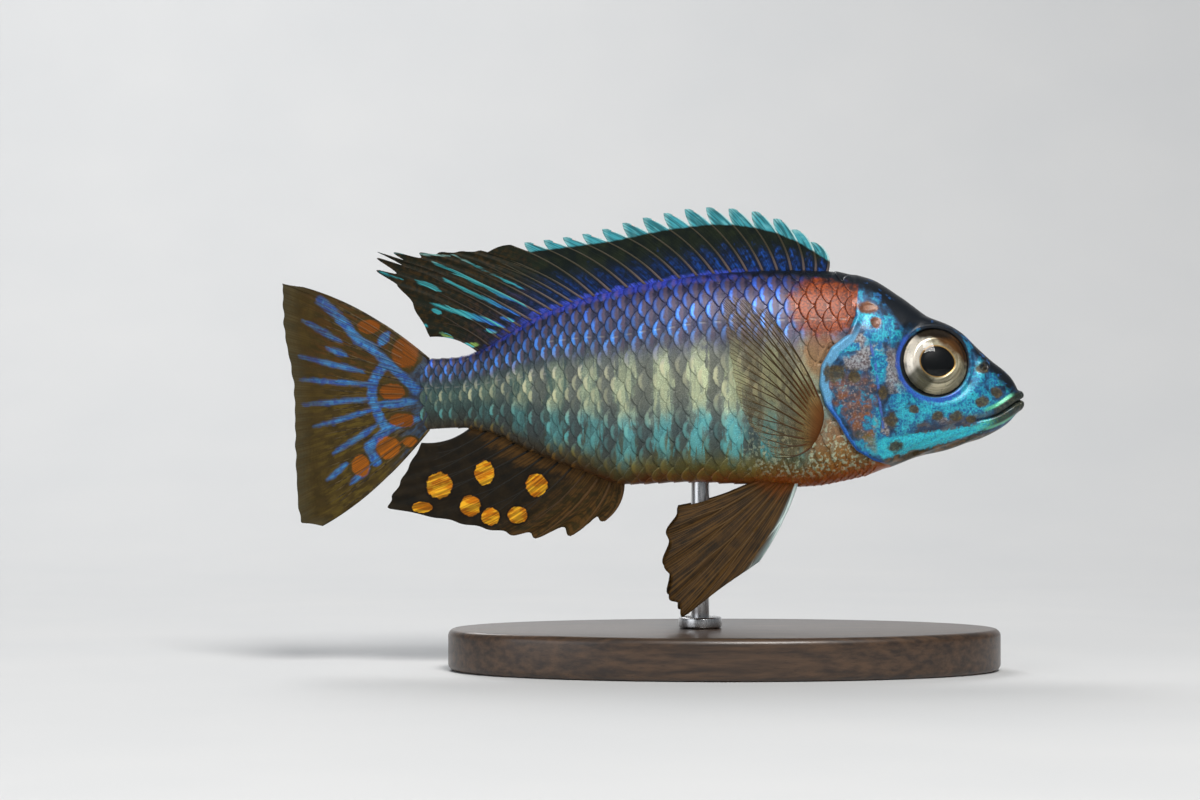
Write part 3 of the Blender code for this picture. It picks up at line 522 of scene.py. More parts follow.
# %% [markdown]
# ### From distances to colours
# A painter lays thin layers one over another: first the bands of the flank, then bars,
# patches and lines. The node group does the same. Each layer is a colour and a mask,
# and a mask is a soft step over a stored distance. Noise is added to the distance
# first, so that no edge looks ruled. A function for each part keeps the layers in order.

# %% Colours of the flank
BAR_PITCH = 5.9
FLANK_COLOURS = [
    (0.0, (0.008, 0.007, 0.016)), (0.035, (0.016, 0.015, 0.06)), (0.1, (0.038, 0.032, 0.1)),
    (0.24, (0.042, 0.046, 0.12)), (0.32, (0.098, 0.104, 0.15)), (0.39, (0.23, 0.25, 0.21)),
    (0.5, (0.35, 0.38, 0.26)), (0.62, (0.25, 0.3, 0.24)), (0.75, (0.11, 0.19, 0.18)),
    (0.85, (0.125, 0.14, 0.06)), (0.93, (0.165, 0.14, 0.034)), (1.0, (0.24, 0.06, 0.007))]
TAIL_COLOURS = [
    (0.0, (0.01, 0.011, 0.026)), (0.12, (0.016, 0.026, 0.06)), (0.32, (0.028, 0.05, 0.066)),
    (0.5, (0.054, 0.11, 0.098)), (0.66, (0.04, 0.082, 0.074)), (0.84, (0.036, 0.046, 0.036)),
    (1.0, (0.045, 0.03, 0.014))]
ORANGE, AMBER, CREAM = (0.275, 0.048, 0.004), (0.28, 0.105, 0.012), (0.56, 0.62, 0.37)
TURQUOISE, THROAT_ORANGE = (0.1, 0.47, 0.5), (0.33, 0.07, 0.005)


def flank_colours(n, where, broad, middle, fine):
    """The bands, bars and patches of the flank, and where its bright bars are."""
    station, level, height = n.attribute("lie")
    _, orange, amber = n.attribute("patches")

    # bands from back to belly, and the root of the tail
    band = height + (broad * 0.1 + middle * 0.09)
    colour = n.blend(station, 44.0, 86.0, n.ramp(band, FLANK_COLOURS), n.ramp(band, TAIL_COLOURS))

    # upright bars and ragged strokes on the flank
    wobble = middle * 2.2 + broad * 3.0
    turn = (station + wobble) * (2 * math.pi / BAR_PITCH)
    wave = n.math("SINE", turn) * 0.5 + 0.5
    in_band = n.step(band, 0.27, 0.44) * n.step(band, 0.93, 0.83)
    in_band = in_band * n.step(station, 34.0, 42.0) * n.step(station, 99.0, 78.0)
    strokes = n.noise(n.add("CombineXYZ", station * 1.5, level * 0.2, 0.0), 1.0, 3.0)
    dark_bar = n.step(wave, 0.6, 0.2) * in_band
    shadow = n.blend(band, 0.55, 0.72, (0.12, 0.125, 0.11), (0.04, 0.055, 0.06))
    colour = n.mix(dark_bar * 0.72, colour, shadow)
    bright = n.step((strokes - 0.5) * 2.5 + wave, 0.44, 0.88) * in_band
    bar_colour = n.blend(band, 0.6, 0.72, CREAM, TURQUOISE)
    bright_share = n.step(station, 80.0, 46.0) * 0.48 + 0.24
    colour = n.mix(bright * bright_share, colour, bar_colour)

    # orange behind the head, amber round the pectoral root, orange throat
    edge = middle * 0.9 + fine * 0.35
    colour = n.mix(n.step(amber + edge, 0.35, -0.45) * 0.7, colour, AMBER)
    orange_here = n.step(orange + edge, 0.18, -0.2)
    colour = n.mix(orange_here, colour, n.blend(fine, -0.16, 0.12, (0.11, 0.016, 0.003), ORANGE))
    chest = n.step(middle * 0.12 + height, 0.86, 0.98) * n.step(station, 48.0, 40.0)
    colour = n.mix(chest * 0.9, colour, THROAT_ORANGE)

    # painted glints on the chest, pale reflections put into the colour, and a blue line along the root of the
    # dorsal fin
    painted_glint = n.step(n.noise(where, 1.5, 3.0), 0.5, 0.62) * n.step(station, 50.0, 42.0)
    painted_glint = painted_glint * n.step(height, 0.68, 0.78) * n.step(height, 0.97, 0.92)
    colour = n.mix(painted_glint * 0.85, colour, (0.42, 0.48, 0.33))
    base_line = n.step(fine * 0.03 + height, 0.048, 0.022)
    base_line = base_line * n.step(station, 44.0, 50.0) * n.step(station, 96.0, 80.0)
    colour = n.mix(base_line * 0.8, colour, (0.05, 0.08, 0.62))
    return colour, bright


print("bars every %.1f mm, and %d bands" % (BAR_PITCH, len(FLANK_COLOURS)))

# %% Colours of the face
FACE_COLOURS = [
    (0.36, (0.006, 0.018, 0.036)), (0.47, (0.012, 0.046, 0.11)), (0.56, (0.016, 0.11, 0.24)),
    (0.63, (0.022, 0.285, 0.42)), (0.7, (0.02, 0.12, 0.28)), (0.8, (0.04, 0.06, 0.18))]
FACE_CYAN, PIT_BROWN = (0.03, 0.54, 0.64), (0.05, 0.036, 0.014)


def face_colours(n, worn, broad, middle, fine):
    """A turquoise net on dark blue, with grey and bright patches and a bronze gill cover."""
    station, level, _ = n.attribute("lie")
    gill, _, _ = n.attribute("marks")
    eye, _, cheek = n.attribute("features")
    cyan, grey, _ = n.attribute("face")
    face = n.ramp(broad * 0.25 + worn, FACE_COLOURS)
    grey_here = n.step(middle * 1.5 + grey, 0.45, -0.35)
    grey_tint = n.blend(fine, -0.16, 0.14, (0.12, 0.085, 0.08), (0.36, 0.35, 0.35))
    face = n.mix(grey_here * 0.85, face, grey_tint)
    cyan_edge = fine * 0.7 + middle * 2.0 + cyan
    under_eye = n.step(middle * 1.6 + eye, 8.4, 7.7) * n.step(level, 3.5, 1.5)
    cyan_here = n.math("MAXIMUM", n.step(cyan_edge, 0.34, -0.05), under_eye * 0.8)
    patchy = fine * 0.7 + middle * 0.8
    sheen = n.blend(patchy, -0.16, 0.14, (0.01, 0.105, 0.28), (0.028, 0.41, 0.52))
    face = n.mix(cyan_here, face, sheen)

    # the lower gill cover in bronze, its bright rim, and the blue line behind the cheek
    plate = n.step(middle * 2.0 + station, 24.8, 26.2) * n.step(middle * 1.6 + gill, 1.0, 2.2)
    plate = plate * n.step(middle * 5.0 + level, 5.5, 2.5) * n.step(worn, 0.62, 0.5)
    bronze = n.blend(middle, -0.16, 0.14, (0.05, 0.055, 0.07), (0.26, 0.09, 0.022))
    bronze = n.blend(level, -4.5, -7.0, bronze, (0.2, 0.17, 0.03))
    bronze = n.blend(fine, 0.02, 0.2, bronze, (0.33, 0.23, 0.19))
    face = n.mix(plate * 0.78, face, bronze)
    wide_rim = n.step(level, -2.5, 1.0) + 0.35
    rim = n.step(gill, -0.1, 0.1) * n.step(middle * 0.8 + (gill - wide_rim), 0.35, 0.0)
    rim_tint = n.blend(level, -2.0, 0.5, (0.03, 0.17, 0.62), (0.13, 0.37, 0.6))
    face = n.mix(rim * n.step(level, 13.0, 10.0) * 0.92, face, rim_tint)
    cheek_line = n.step(abs(fine * 0.5 + cheek), 0.34, 0.1) * n.step(middle, -0.1, 0.04)
    face = n.mix(cheek_line, face, (0.06, 0.13, 0.42))
    return face


print("face from", FACE_COLOURS[0][1], "to", FACE_CYAN)


# %% Colours of the jaws and pits
def jaw_colours(n, face, middle, fine):
    """A bright band over a dark brown lower jaw, a spotted groove above it, and the pits."""
    station, level, _ = n.attribute("lie")
    _, pits, jaw = n.attribute("marks")
    low_jaw = n.step(level + (station * 0.22 + middle * 0.9), -3.5, -4.5) * n.step(station, 25.5, 23.0)
    brown = n.blend(middle, -0.05, 0.14, (0.026, 0.026, 0.014), (0.15, 0.075, 0.022))
    face = n.mix(low_jaw, face, n.blend(fine, 0.14, 0.26, brown, (0.06, 0.24, 0.26)))
    groove = n.step(jaw, 2.4, 1.3) * n.step(station * 0.22 + level, -3.4, -2.6)
    groove = groove * n.step(station, 5.5, 8.0) * n.step(station, 21.0, 17.5)
    groove_tint = n.blend(middle, -0.08, 0.12, (0.024, 0.04, 0.08), (0.11, 0.085, 0.065))
    face = n.mix(groove * 0.75, face, groove_tint)
    pit_colour = n.blend(fine, -0.1, 0.2, PIT_BROWN, (0.1, 0.07, 0.02))
    pit_colour = n.blend(level, 8.0, 10.5, pit_colour, (0.15, 0.046, 0.008))
    jaw_colour = n.blend(station, 10.0, 4.0, FACE_CYAN, (0.13, 0.52, 0.23))
    jaw_colour = n.blend(fine, 0.02, -0.16, jaw_colour, (0.014, 0.33, 0.52))
    face = n.blend(fine * 0.9 + middle * 1.3 + jaw, 0.28, -0.12, face, jaw_colour)
    face = n.mix(n.step(middle * 1.7 + pits, 0.4, -0.2) * 0.92, face, pit_colour)
    return face


print("jaw band", JAW_BAND_WIDTH[0][1], "to", JAW_BAND_WIDTH[-1][1], "mm half wide")


# %% Colours round the eye and on the lips
def eye_and_lip_colours(n, face, middle, fine):
    """A ring round the eye, near black painted shade in its socket, and dark lips with a painted highlight, a
    light line, along each.
    """
    station, level, _ = n.attribute("lie")
    eye, mouth, _ = n.attribute("features")
    ring = n.step(eye, 5.7, 6.0) * n.step(fine * 0.8 + eye, 6.9, 6.4)
    ring = ring * n.step(level - station, -8.0, -10.5)
    face = n.mix(ring * 0.85, face, (0.024, 0.09, 0.46))
    # near black where the skin sinks round the eye: painted shade in the socket
    face = n.blend(eye, 6.0, 5.7, face, (0.006, 0.008, 0.01))
    lips = n.step(abs(mouth), 1.8, 1.3) * n.step(station, 7.5, 4.5)
    lip_colour = n.blend(middle + fine, -0.1, 0.25, (0.016, 0.024, 0.018), (0.06, 0.06, 0.036))
    face = n.mix(lips * 0.94, face, lip_colour)
    # painted highlight: a light green line along the outer edge of each lip
    line = n.step(abs(abs(mouth) - 1.55), 0.42, 0.12)
    line = line * n.step(station, 1.6, 3.0) * n.step(station, 7.6, 6.0)
    face = n.mix(line * 0.9, face, (0.09, 0.46, 0.26))
    return face


print("eye at station", EYE_STATION, "and level", EYE_LEVEL)

# %% The markings as one node group
SPECKLE_BRIGHTNESS = [(0.28, 0.45), (0.5, 1.0), (0.72, 2.1)]


def build_markings():
    """The colours of skin and scales, from the distances that they store."""
    tree, n, _, out = node_group(
        "fish_markings", [], [("Colour", "Color"), ("Bright Bar", "Float"), ("Grain", "Float")])
    gill, _, _ = n.attribute("marks")
    dark_top, _, _ = n.attribute("patches")
    where = n.position()
    broad = n.noise(where, 0.16, 2.0) - 0.5
    middle = n.noise(where, 0.75, 3.0) - 0.5
    fine = n.noise(where, 2.6, 2.0) - 0.5
    speckle = n.noise(where, 7.0, 1.0)
    worn = n.noise(n.add("VectorMath", where, (31.0, 7.0, 5.0), operation="ADD"), 0.5, 4.0, 0.62)
    colour, bright = flank_colours(n, where, broad, middle, fine)
    face = jaw_colours(n, face_colours(n, worn, broad, middle, fine), middle, fine)
    face = eye_and_lip_colours(n, face, middle, fine)
    colour = n.blend(gill, -0.12, 0.12, colour, face)

    # the black top of the head and back, with a few bright flecks at its edge
    top_edge = dark_top + (middle * 3.6 + broad * 2.0)
    fleck = n.step(worn, 0.58, 0.63) * n.step(top_edge, 4.2, 1.2) * n.step(gill, -0.5, 0.5)
    top = n.mix(fleck * 0.85, (0.004, 0.007, 0.012), (0.018, 0.11, 0.33))
    colour = n.blend(top_edge, -1.1, 1.0, colour, top)
    spotted = n.ramp(speckle, [(at, (grey_level,) * 3) for at, grey_level in SPECKLE_BRIGHTNESS])
    n.fill(out["Colour"], n.mix(0.5, colour, spotted, "MULTIPLY"))
    n.fill(out["Bright Bar"], bright)
    n.fill(out["Grain"], speckle)
    return tree


markings = build_markings()
print("markings", len(markings.nodes), "nodes")

# %% [markdown]
# ## The skin
# One skin covers the head, the gill covers, the trunk and the root of the tail, so no
# seam shows. It is a grid of rings round the body, closer on the head, and each point
# is then moved out or in along its normal by the relief: lips and the line of the
# mouth, nostrils, sensory pits, the rim round the eye, the folds of the throat, and the
# step of the gill cover with the thin slit behind it. It could be sculpted by hand, but
# a formula for the relief lets the same named lines place both form and colour.

# %% Relief of the head
COAT_DEPTH = 0.16
NOSTRIL = (7.1, 5.5)
THROAT_FOLD = 1.15
CHEEK_BULGE = (19.5, -1.5, 4.0, 4.5)
EYE_OUT, ORBIT_RIM, ORBIT_REACH = 4.6, 6.15, 8.4
EYE_TILT_UP, EYE_TURN_FORWARD = math.radians(9.0), math.radians(12.0)


def hump(x, middle, width):
    """A soft bump of height 1 about a middle."""
    return np.exp(-(((x - middle) / width) ** 2))


def relief(station, level):
    """How far the skin stands out from the plain body, in millimetres."""
    # the gill cover stands out, with a rim and a slit behind it, and the coat's bed lies behind
    gill = -line_distance(station, level, GILL_LINE)
    above = level - belly_level(station)
    off_throat = ease(above, 0.2, 2.6)
    rise = 0.35 * ease(gill, -0.05, 0.25) * ease(station, 17.0, 25.0) * ease(level, 15.0, 11.0) * off_throat
    rise += 0.25 * hump(gill, 0.5, 0.5) * ease(level, 16.0, 11.0) * off_throat
    rise -= 0.55 * hump(gill, -0.28, 0.22) * ease(level, 17.0, 12.0) * off_throat
    rise -= COAT_DEPTH * ease(gill, 0.0, -1.2)
    # the groove behind the cheek, and the cheek's own bulge
    cheek = line_distance(station, level, CHEEK_LINE)
    rise -= 0.28 * hump(cheek, 0.0, 0.28) + 0.1 * hump(cheek, -0.8, 0.5)
    rise += 0.18 * hump(spot_distance(station, level, [CHEEK_BULGE]), -1.0, 0.8)
    # the lips, their edges, and the line of the mouth between them
    mouth = line_distance(station, level, MOUTH_LINE)
    fade = ease(station, 8.8, 4.0)
    rise += 0.3 * fade * np.where(mouth > 0, hump(mouth, 0.8, 0.7), 0.0)
    rise += 0.34 * fade * np.where(mouth < 0, hump(mouth, -0.8, 0.7), 0.0)
    rise -= 0.1 * fade * (hump(mouth, 1.9, 0.35) + hump(mouth, -1.9, 0.35))
    rise -= 0.62 * ease(station, 9.2, 7.6) * hump(mouth, 0.0, 0.2)
    # the groove under the jaw's band
    jaw = line_distance(station, level, JAW_BAND)
    rise -= 0.14 * hump(jaw, 1.4, 0.4) * ease(station, 5.0, 8.0) * ease(station, 24.0, 20.0)
    # sensory pits, the nostril with its rim, and the folds of the throat
    pits = spot_distance(station, level, SENSORY_PITS)
    rise -= 0.16 * ease(pits, 0.25, -0.6) * ease(gill, 0.3, 1.0)
    nostril = np.hypot(station - NOSTRIL[0], level - NOSTRIL[1])
    rise += 0.16 * hump(nostril, 0.75, 0.28) - 0.55 * ease(nostril, 0.55, 0.25)
    throat = ease(above, 4.5, 1.0) * ease(station, 7.0, 10.0) * ease(station, 24.0, 19.0)
    rise -= 0.09 * throat * (1 + np.cos(above * 2 * math.pi / THROAT_FOLD + station * 0.7))
    return rise


print("relief at the nostril %.2f mm" % relief(np.array(NOSTRIL[0]), np.array(NOSTRIL[1])))


# %% The eye's directions, and the skin round it
def eye_axes(side):
    """The eye's outward, forward and upward directions, as (-station, side, level)."""
    turn = Matrix.Rotation(-side * EYE_TURN_FORWARD, 3, "Z") @ Matrix.Rotation(side * EYE_TILT_UP, 3, "X")
    return (np.array(turn @ Vector(v)) for v in ((0, side, 0), (1, 0, 0), (0, 0, 1)))


def orbit(points, side):
    """Draws the skin to the eye's rim, with a raised edge, and hollows it under the eye."""
    outward, _, _ = eye_axes(side)
    centre = np.array((-EYE_STATION, side * EYE_OUT, EYE_LEVEL))
    away = points - centre
    height = away @ outward
    radius = np.linalg.norm(away - height[..., None] * outward, axis=-1)
    target = 0.28 * hump(radius, ORBIT_RIM, 0.35) - 0.05 - 1.3 * ease(radius, 5.62, 5.3)
    share = ease(radius, ORBIT_REACH, 5.9) * (points[..., 1] * side > 0.3)
    return points + outward * ((target - height) * share)[..., None]


print("right eye looks along", *(round(float(v), 2) for v in next(eye_axes(SIDES["right"]))))


# %% Rings of the skin
skin_stations = np.concatenate([
    NOSE_TIP + (NOSE_END - NOSE_TIP) * (1 - np.cos(np.linspace(0.02, 0.5, 14) * math.pi)),
    np.arange(1.0, 10.0, 0.13), np.arange(10.0, 36.0, 0.19), np.arange(36.0, 100.3, 0.55)])
RING_HALF = 112
UNWRAP_LENGTH = 104.0
side_half, level_half, _ = half_sections(skin_stations, RING_HALF + 1)
side_ring = np.concatenate([-side_half, side_half[:, -2:0:-1]], axis=1)
level_ring = np.concatenate([level_half, level_half[:, -2:0:-1]], axis=1)
station_ring = np.broadcast_to(skin_stations[:, None], side_ring.shape)
plain = np.stack([-station_ring, side_ring, level_ring], -1)
out_normal = unit(np.cross(np.roll(plain, -1, 1) - np.roll(plain, 1, 1), np.gradient(plain, axis=0)))
out_normal *= np.sign((out_normal[..., 1] * side_ring).sum())
formed = plain + out_normal * relief(station_ring, level_ring)[..., None]
for eye_side in SIDES.values():
    formed = orbit(formed, eye_side)
skin_points = place(-formed[..., 0], formed[..., 1], formed[..., 2])
print("skin rings", skin_points.shape)

# %% Skin finish and piece
skin_finish, nodes, shader = finish(
    "fish_skin", Roughness=0.4, Specular_IOR_Level=0.35, Coat_Weight=0.2, Coat_Roughness=0.12)
marked = use_group(nodes, markings)
nodes.fill(shader.inputs["Base Color"], marked["Colour"])
skin_grain = nodes.noise(nodes.position(), 1.6, 4.0, 0.6) * 0.7 + marked["Grain"]
bump(nodes, shader, skin_grain, 0.08, 0.4)
nodes.fill(shader.inputs["Metallic"], marked["Grain"] * 0.45)
rows, columns = skin_points.shape[:2]
around = np.broadcast_to(np.linspace(0.01, 0.99, columns), (rows, columns))
along = np.broadcast_to((skin_stations / UNWRAP_LENGTH)[:, None], (rows, columns))
piece("fish_skin", skin_points.reshape(-1, 3), tube_faces(rows, columns), skin_finish, "head_skin",
      ["head", "gill_cover_right", "gill_cover_left", "trunk", "tail_stem"],
      distances(-plain[..., 0], plain[..., 2]), np.stack([along, around], -1).reshape(-1, 2))

# %% [markdown]
# ## The scales
# Each scale is a thin solid plate, rooted in the skin and raised at its free rear
# edge, over the front of the next ones, like tiles on a roof. They stand in rows from
# the gill opening to the tail, each row half a scale out of step with the next. The
# plates are bent over the body by working out every point of a plate on it. A bump in
# the skin would be quicker, but its edge would look smooth and it is lost in a mesh.

# %% Rows and columns of scales
LENGTH_OF_SCALE = [(18.0, 2.3), (30.0, 2.5), (45.0, 2.6), (70.0, 2.2), (90.0, 1.75), (103.0, 1.5)]
ROW_PITCH = [(18.0, 2.1), (35.0, 2.45), (50.0, 2.3), (77.0, 1.85), (97.0, 1.5)]
FLANK_ROWS, LATERAL_SHARE = (-12, 16), 0.43
LATERAL_ROWS, LATERAL_BREAK = (-3, 0), 79.0
PLATE_REAR, PLATE_FRONT = 0.63, -0.6
PLATE_THICKNESS, PLATE_ROOT_DEPTH, MIDDLE_LINE_DEPTH = 0.09, 0.1, 0.2
scale_length, row_pitch = smooth(LENGTH_OF_SCALE), smooth(ROW_PITCH)
column_stations = [17.0]
while column_stations[-1] < 102.0:
    column_stations.append(column_stations[-1] + float(scale_length(column_stations[-1])))
column_stations = np.array(column_stations)
girth = smooth(np.stack([TABLE_STATIONS[::8], TABLE_GIRTH[::8]], 1))


def flank_share(station, row):
    """Share of the way from back to belly of a row of scales. Row 0 is on the middle of the flank."""
    return LATERAL_SHARE + row * row_pitch(station) / girth(station)


def scale_roots(fineness, keep):
    """Station, row, level and share of the scales that keep accepts."""
    rows_here = np.arange(FLANK_ROWS[0] * fineness, FLANK_ROWS[1] * fineness + 1)
    columns_here = np.arange(0, len(column_stations) * fineness)
    column, row = np.meshgrid(columns_here / fineness, rows_here / fineness, indexing="ij")
    column = column + (rows_here % 2)[None] * 0.5 / fineness
    station = np.interp(column, np.arange(len(column_stations)), column_stations)
    share = flank_share(station, row)
    _, level = on_flank(station, share)
    kept = (share > 0.012) & (share < 0.985) & (station < 100.6) & keep(station, level, share)
    return station[kept], row[kept], level[kept], share[kept]


print("columns of scales", len(column_stations), "pitch of rows %.2f mm" % row_pitch(50.0))


# %% The points of many plates at once
def plates(roots, side_sign, fineness, slope, rng, lines):
    """Closed scale plates on one side of the fish: points, faces, marks and places to unwrap.

    u runs along a plate, in shares of a scale's length, and v across it, in rows of scales.
    """
    # the outline of each plate, with a little chance in its size and place
    station, row, level, share = roots
    across = np.linspace(-1, 1, lines[1])[None, None]
    down = np.linspace(0, 1, lines[0])[None, :, None]
    jitter = rng.standard_normal((4, len(station), 1, 1))
    rear = PLATE_REAR - 0.5 * np.abs(across) ** 2.1
    front = PLATE_FRONT + 0.12 * across**2
    u = front + (rear - front) * down + 0.03 * jitter[0]
    length = scale_length(station)[:, None, None] / fineness
    s = station[:, None, None] + u * length
    v = across * (0.98 + 0.03 * jitter[1]) / fineness + 0.045 * jitter[2] * (u + 0.5) / fineness
    # the body under every point of it, and the direction out of the body there
    here = flank_share(s, row[:, None, None] + v)
    side, z = on_flank(s, here)
    points = np.stack([-s, side, z], -1)
    far_side, far_z = on_flank(s + 0.3, here)
    low_side, low_z = on_flank(s, here + 0.01)
    back = np.stack([np.full_like(s, -0.3), far_side - side, far_z - z], -1)
    low = np.stack([np.zeros_like(s), low_side - side, low_z - z], -1)
    normal = unit(np.cross(low, back))
    normal *= np.sign((normal[..., 1] * side).sum())
    # the plate rises from its root to its free rear edge, and sinks past the middle line
    height = -COAT_DEPTH - PLATE_ROOT_DEPTH + slope * (u - PLATE_FRONT) * (1 + 0.1 * jitter[3])
    height = height + 0.02 * (1 - across**2)
    height = height - MIDDLE_LINE_DEPTH * ease(np.maximum(-here, here - 1), -0.001, 0.01)
    thick = PLATE_THICKNESS - 0.03 * down
    solid = np.stack([points + normal * height[..., None], points + normal * (height - thick)[..., None]], 1)
    solid[..., 1] *= side_sign
    world = place(-solid[..., 0], solid[..., 1], solid[..., 2])
    # the faces of one plate, repeated for all
    face = sheet_faces(*lines)
    if side_sign > 0:
        face = [f[::-1] for f in face]
    count = 2 * lines[0] * lines[1]
    faces = (np.array(face)[None] + (np.arange(len(station)) * count)[:, None, None]).reshape(-1, 4)
    # what the colours are read from, and a patch of its own for each plate to unwrap on
    marks = distances(np.repeat(s[:, None], 2, axis=1), np.repeat(z[:, None], 2, axis=1))
    chance = rng.random(len(station))[:, None, None]
    own = np.stack(np.broadcast_arrays(down, across, chance), -1)
    marks["scale"] = np.repeat(own[:, None], 2, axis=1).reshape(-1, 3)
    tubed = (row == np.where(station < LATERAL_BREAK, *LATERAL_ROWS)) * (fineness == 1)
    marks["kind"] = np.repeat(np.stack([tubed * 1.0, chance[:, 0, 0], level * 0], -1), count, axis=0)
    root = np.stack([station / UNWRAP_LENGTH, 0.5 + side_sign * 0.49 * (1 - share)], -1)
    patch = root[:, None, None] + 0.0015 * np.stack(np.broadcast_arrays(down * 2 - 1, across), -1)
    unwrap = np.repeat(patch.reshape(len(station), 1, -1, 2), 2, axis=1).reshape(-1, 2)
    return world.reshape(-1, 3), faces.tolist(), marks, unwrap


print("plates", PLATE_THICKNESS, "mm thick at the root")

# %% [markdown]
# ### The look of a scale
# Colour lies in the skin over a scale. It is darker at the root, painted shade where the
# scale in front overlaps it, and lighter at the free edge, where a pearly crescent is partly
# the scale's own colour and partly a painted highlight. The markings give the ground colour,
# so bars run on from scale to scale, and a second node group adds to each scale the painted
# shade at its root, the crescent, a thin dark outline and the tube of the lateral line. A
# chance number of each scale keeps them from looking stamped.

# %% Scale finish
# colours of each scale's crescent by height: its own pearly edge and a painted highlight
RIM_COLOURS = [
    (0.0, (0.03, 0.04, 0.14)), (0.06, (0.04, 0.11, 0.54)), (0.26, (0.07, 0.26, 0.74)),
    (0.34, (0.22, 0.24, 0.38)), (0.42, (0.56, 0.55, 0.36)), (0.6, (0.56, 0.57, 0.34)),
    (0.7, (0.18, 0.46, 0.42)), (0.82, (0.1, 0.38, 0.38)), (0.9, (0.22, 0.19, 0.05)),
    (1.0, (0.3, 0.13, 0.02))]


def scale_shading():
    """Paints shade on the root of each scale and, by the place on the flank, a crescent on its rear edge that
    is partly its own colour and partly a painted highlight.
    """
    tree, n, given, out = node_group(
        "scale_shading", [("Ground", "Color", (0.5, 0.5, 0.5, 1.0)), ("Bright Bar", "Float", 0.0)],
        [("Colour", "Color"), ("Height", "Float"), ("Glint", "Float")])
    down, across, chance = n.attribute("scale")
    tubed, _, _ = n.attribute("kind")
    station, _, height = n.attribute("lie")
    gill, _, _ = n.attribute("marks")
    dark_top, orange, amber = n.attribute("patches")
    where = n.position()
    ragged = n.noise(where, 2.2, 3.0) - 0.5
    depth = ragged * 0.24 + down
    upper = n.step(height, 0.36, 0.28)
    behind_head = n.step(gill, 0.2, -0.2)
    # painted shade on the root of each scale, where the scale in front overlaps it
    root_shade = n.mix(upper, (0.78, 0.8, 0.84), (0.4, 0.34, 0.42))
    shade = n.blend(depth, 0.3, 0.62, root_shade, (1.0, 1.0, 1.0))
    colour = n.mix(1.0, given["Ground"], shade, "MULTIPLY")
    off = n.math("MAXIMUM", n.step(orange, 0.25, -0.1), n.step(amber, 0.3, -0.3) * 0.7)
    off = n.math("MAXIMUM", off, n.step(dark_top, -0.5, 0.8))
    on = (1.0 - off) * behind_head
    blush = n.step(depth, 0.45, 0.58) * n.step(depth, 0.82, 0.68) * upper
    colour = n.mix(blush * on * 0.5, colour, (0.115, 0.07, 0.105))
    # the crescent at the free edge: partly the scale's own pearly colour, partly a painted highlight
    crescent_and_highlight = n.step(depth, 0.68, 0.82) * n.step(depth, 1.01, 0.92)
    crescent_and_highlight = crescent_and_highlight * n.step(abs(ragged * 0.9 + across), 0.8, 0.3) * on
    strength = n.math("MAXIMUM", given["Bright Bar"] * 0.5, upper) * 0.42 + chance * chance * 0.85
    crescent_and_highlight = crescent_and_highlight * strength
    colour = n.mix(crescent_and_highlight, colour, n.ramp(height, RIM_COLOURS))
    outline = n.step(ragged * 0.06 + down, 0.93, 1.0)
    colour = n.mix(outline * (upper * 0.34 + 0.1), colour, (0.016, 0.014, 0.026))
    tube_here = n.step(abs(across), 0.13, 0.02) * n.step(down, 0.42, 0.62) * n.step(down, 0.96, 0.74)
    tube_here = tube_here * tubed * behind_head
    colour = n.mix(tube_here * 0.35, colour, (0.3, 0.3, 0.28))
    fibres = n.noise(n.add("CombineXYZ", across * 9.0, down * 2.5, chance * 50.0), 1.0, 2.0)
    grained = fibres * 0.5 + n.noise(where, 3.0, 3.0, 0.6)
    own = chance * 0.36 + n.step(station, 98.0, 70.0) * 0.22 + 0.58
    n.fill(out["Colour"], n.mix(1.0, colour, n.add("CombineColor", own, own, own), "MULTIPLY"))
    n.fill(out["Height"], tube_here * 1.2 + grained)
    n.fill(out["Glint"], crescent_and_highlight * 0.35 + 0.12)
    return tree


scale_group = scale_shading()
scale_finish, nodes, shader = finish(
    "fish_scales", Roughness=0.42, Specular_IOR_Level=0.35, Coat_Weight=0.06, Coat_Roughness=0.18)
marked = use_group(nodes, markings)
shaded = use_group(nodes, scale_group, Ground=marked["Colour"], Bright_Bar=marked["Bright Bar"])
nodes.fill(shader.inputs["Base Color"], shaded["Colour"])
nodes.fill(shader.inputs["Metallic"], shaded["Glint"])
bump(nodes, shader, shaded["Height"], 0.06, 0.5)
print("scale shading", len(scale_group.nodes), "nodes")


# %% Coat of scales
def body_scales(station, level, share):
    """The flank behind the gill opening, without the chest."""
    gill = -line_distance(station, level, GILL_LINE)
    small = (share > 0.8) & (station < 44.0)
    return (gill < -0.35) & (station > 27.0) & ~small


def small_scales(station, level, share):
    """The chest, where the scales are half the size."""
    gill = -line_distance(station, level, GILL_LINE)
    return (gill < -0.3) & (share > 0.78) & (station > 24.0) & (station < 44.5)


rng = np.random.default_rng(7)
for side_name, side_sign in SIDES.items():
    for name, fineness, chosen, slope, lines in (
            ("scales_", 1, body_scales, 0.19, (9, 11)), ("small_scales_", 2, small_scales, 0.15, (6, 7))):
        points, faces, marks, unwrap = plates(
            scale_roots(fineness, chosen), side_sign, fineness, slope, rng, lines)
        piece(name + side_name, points, faces, scale_finish, "flank_skin", [], marks, unwrap)

# %% [markdown]
# ## The fins
# A fin is a thin sheet of skin over a fan of rays. Each fin is described by where
# its rays are rooted and where they end. The sheet is a grid over the fan, and each ray
# is a tapered rod in it. Spines are single and stiff. Soft rays split in two and
# again in two towards the edge, as the real ones do.

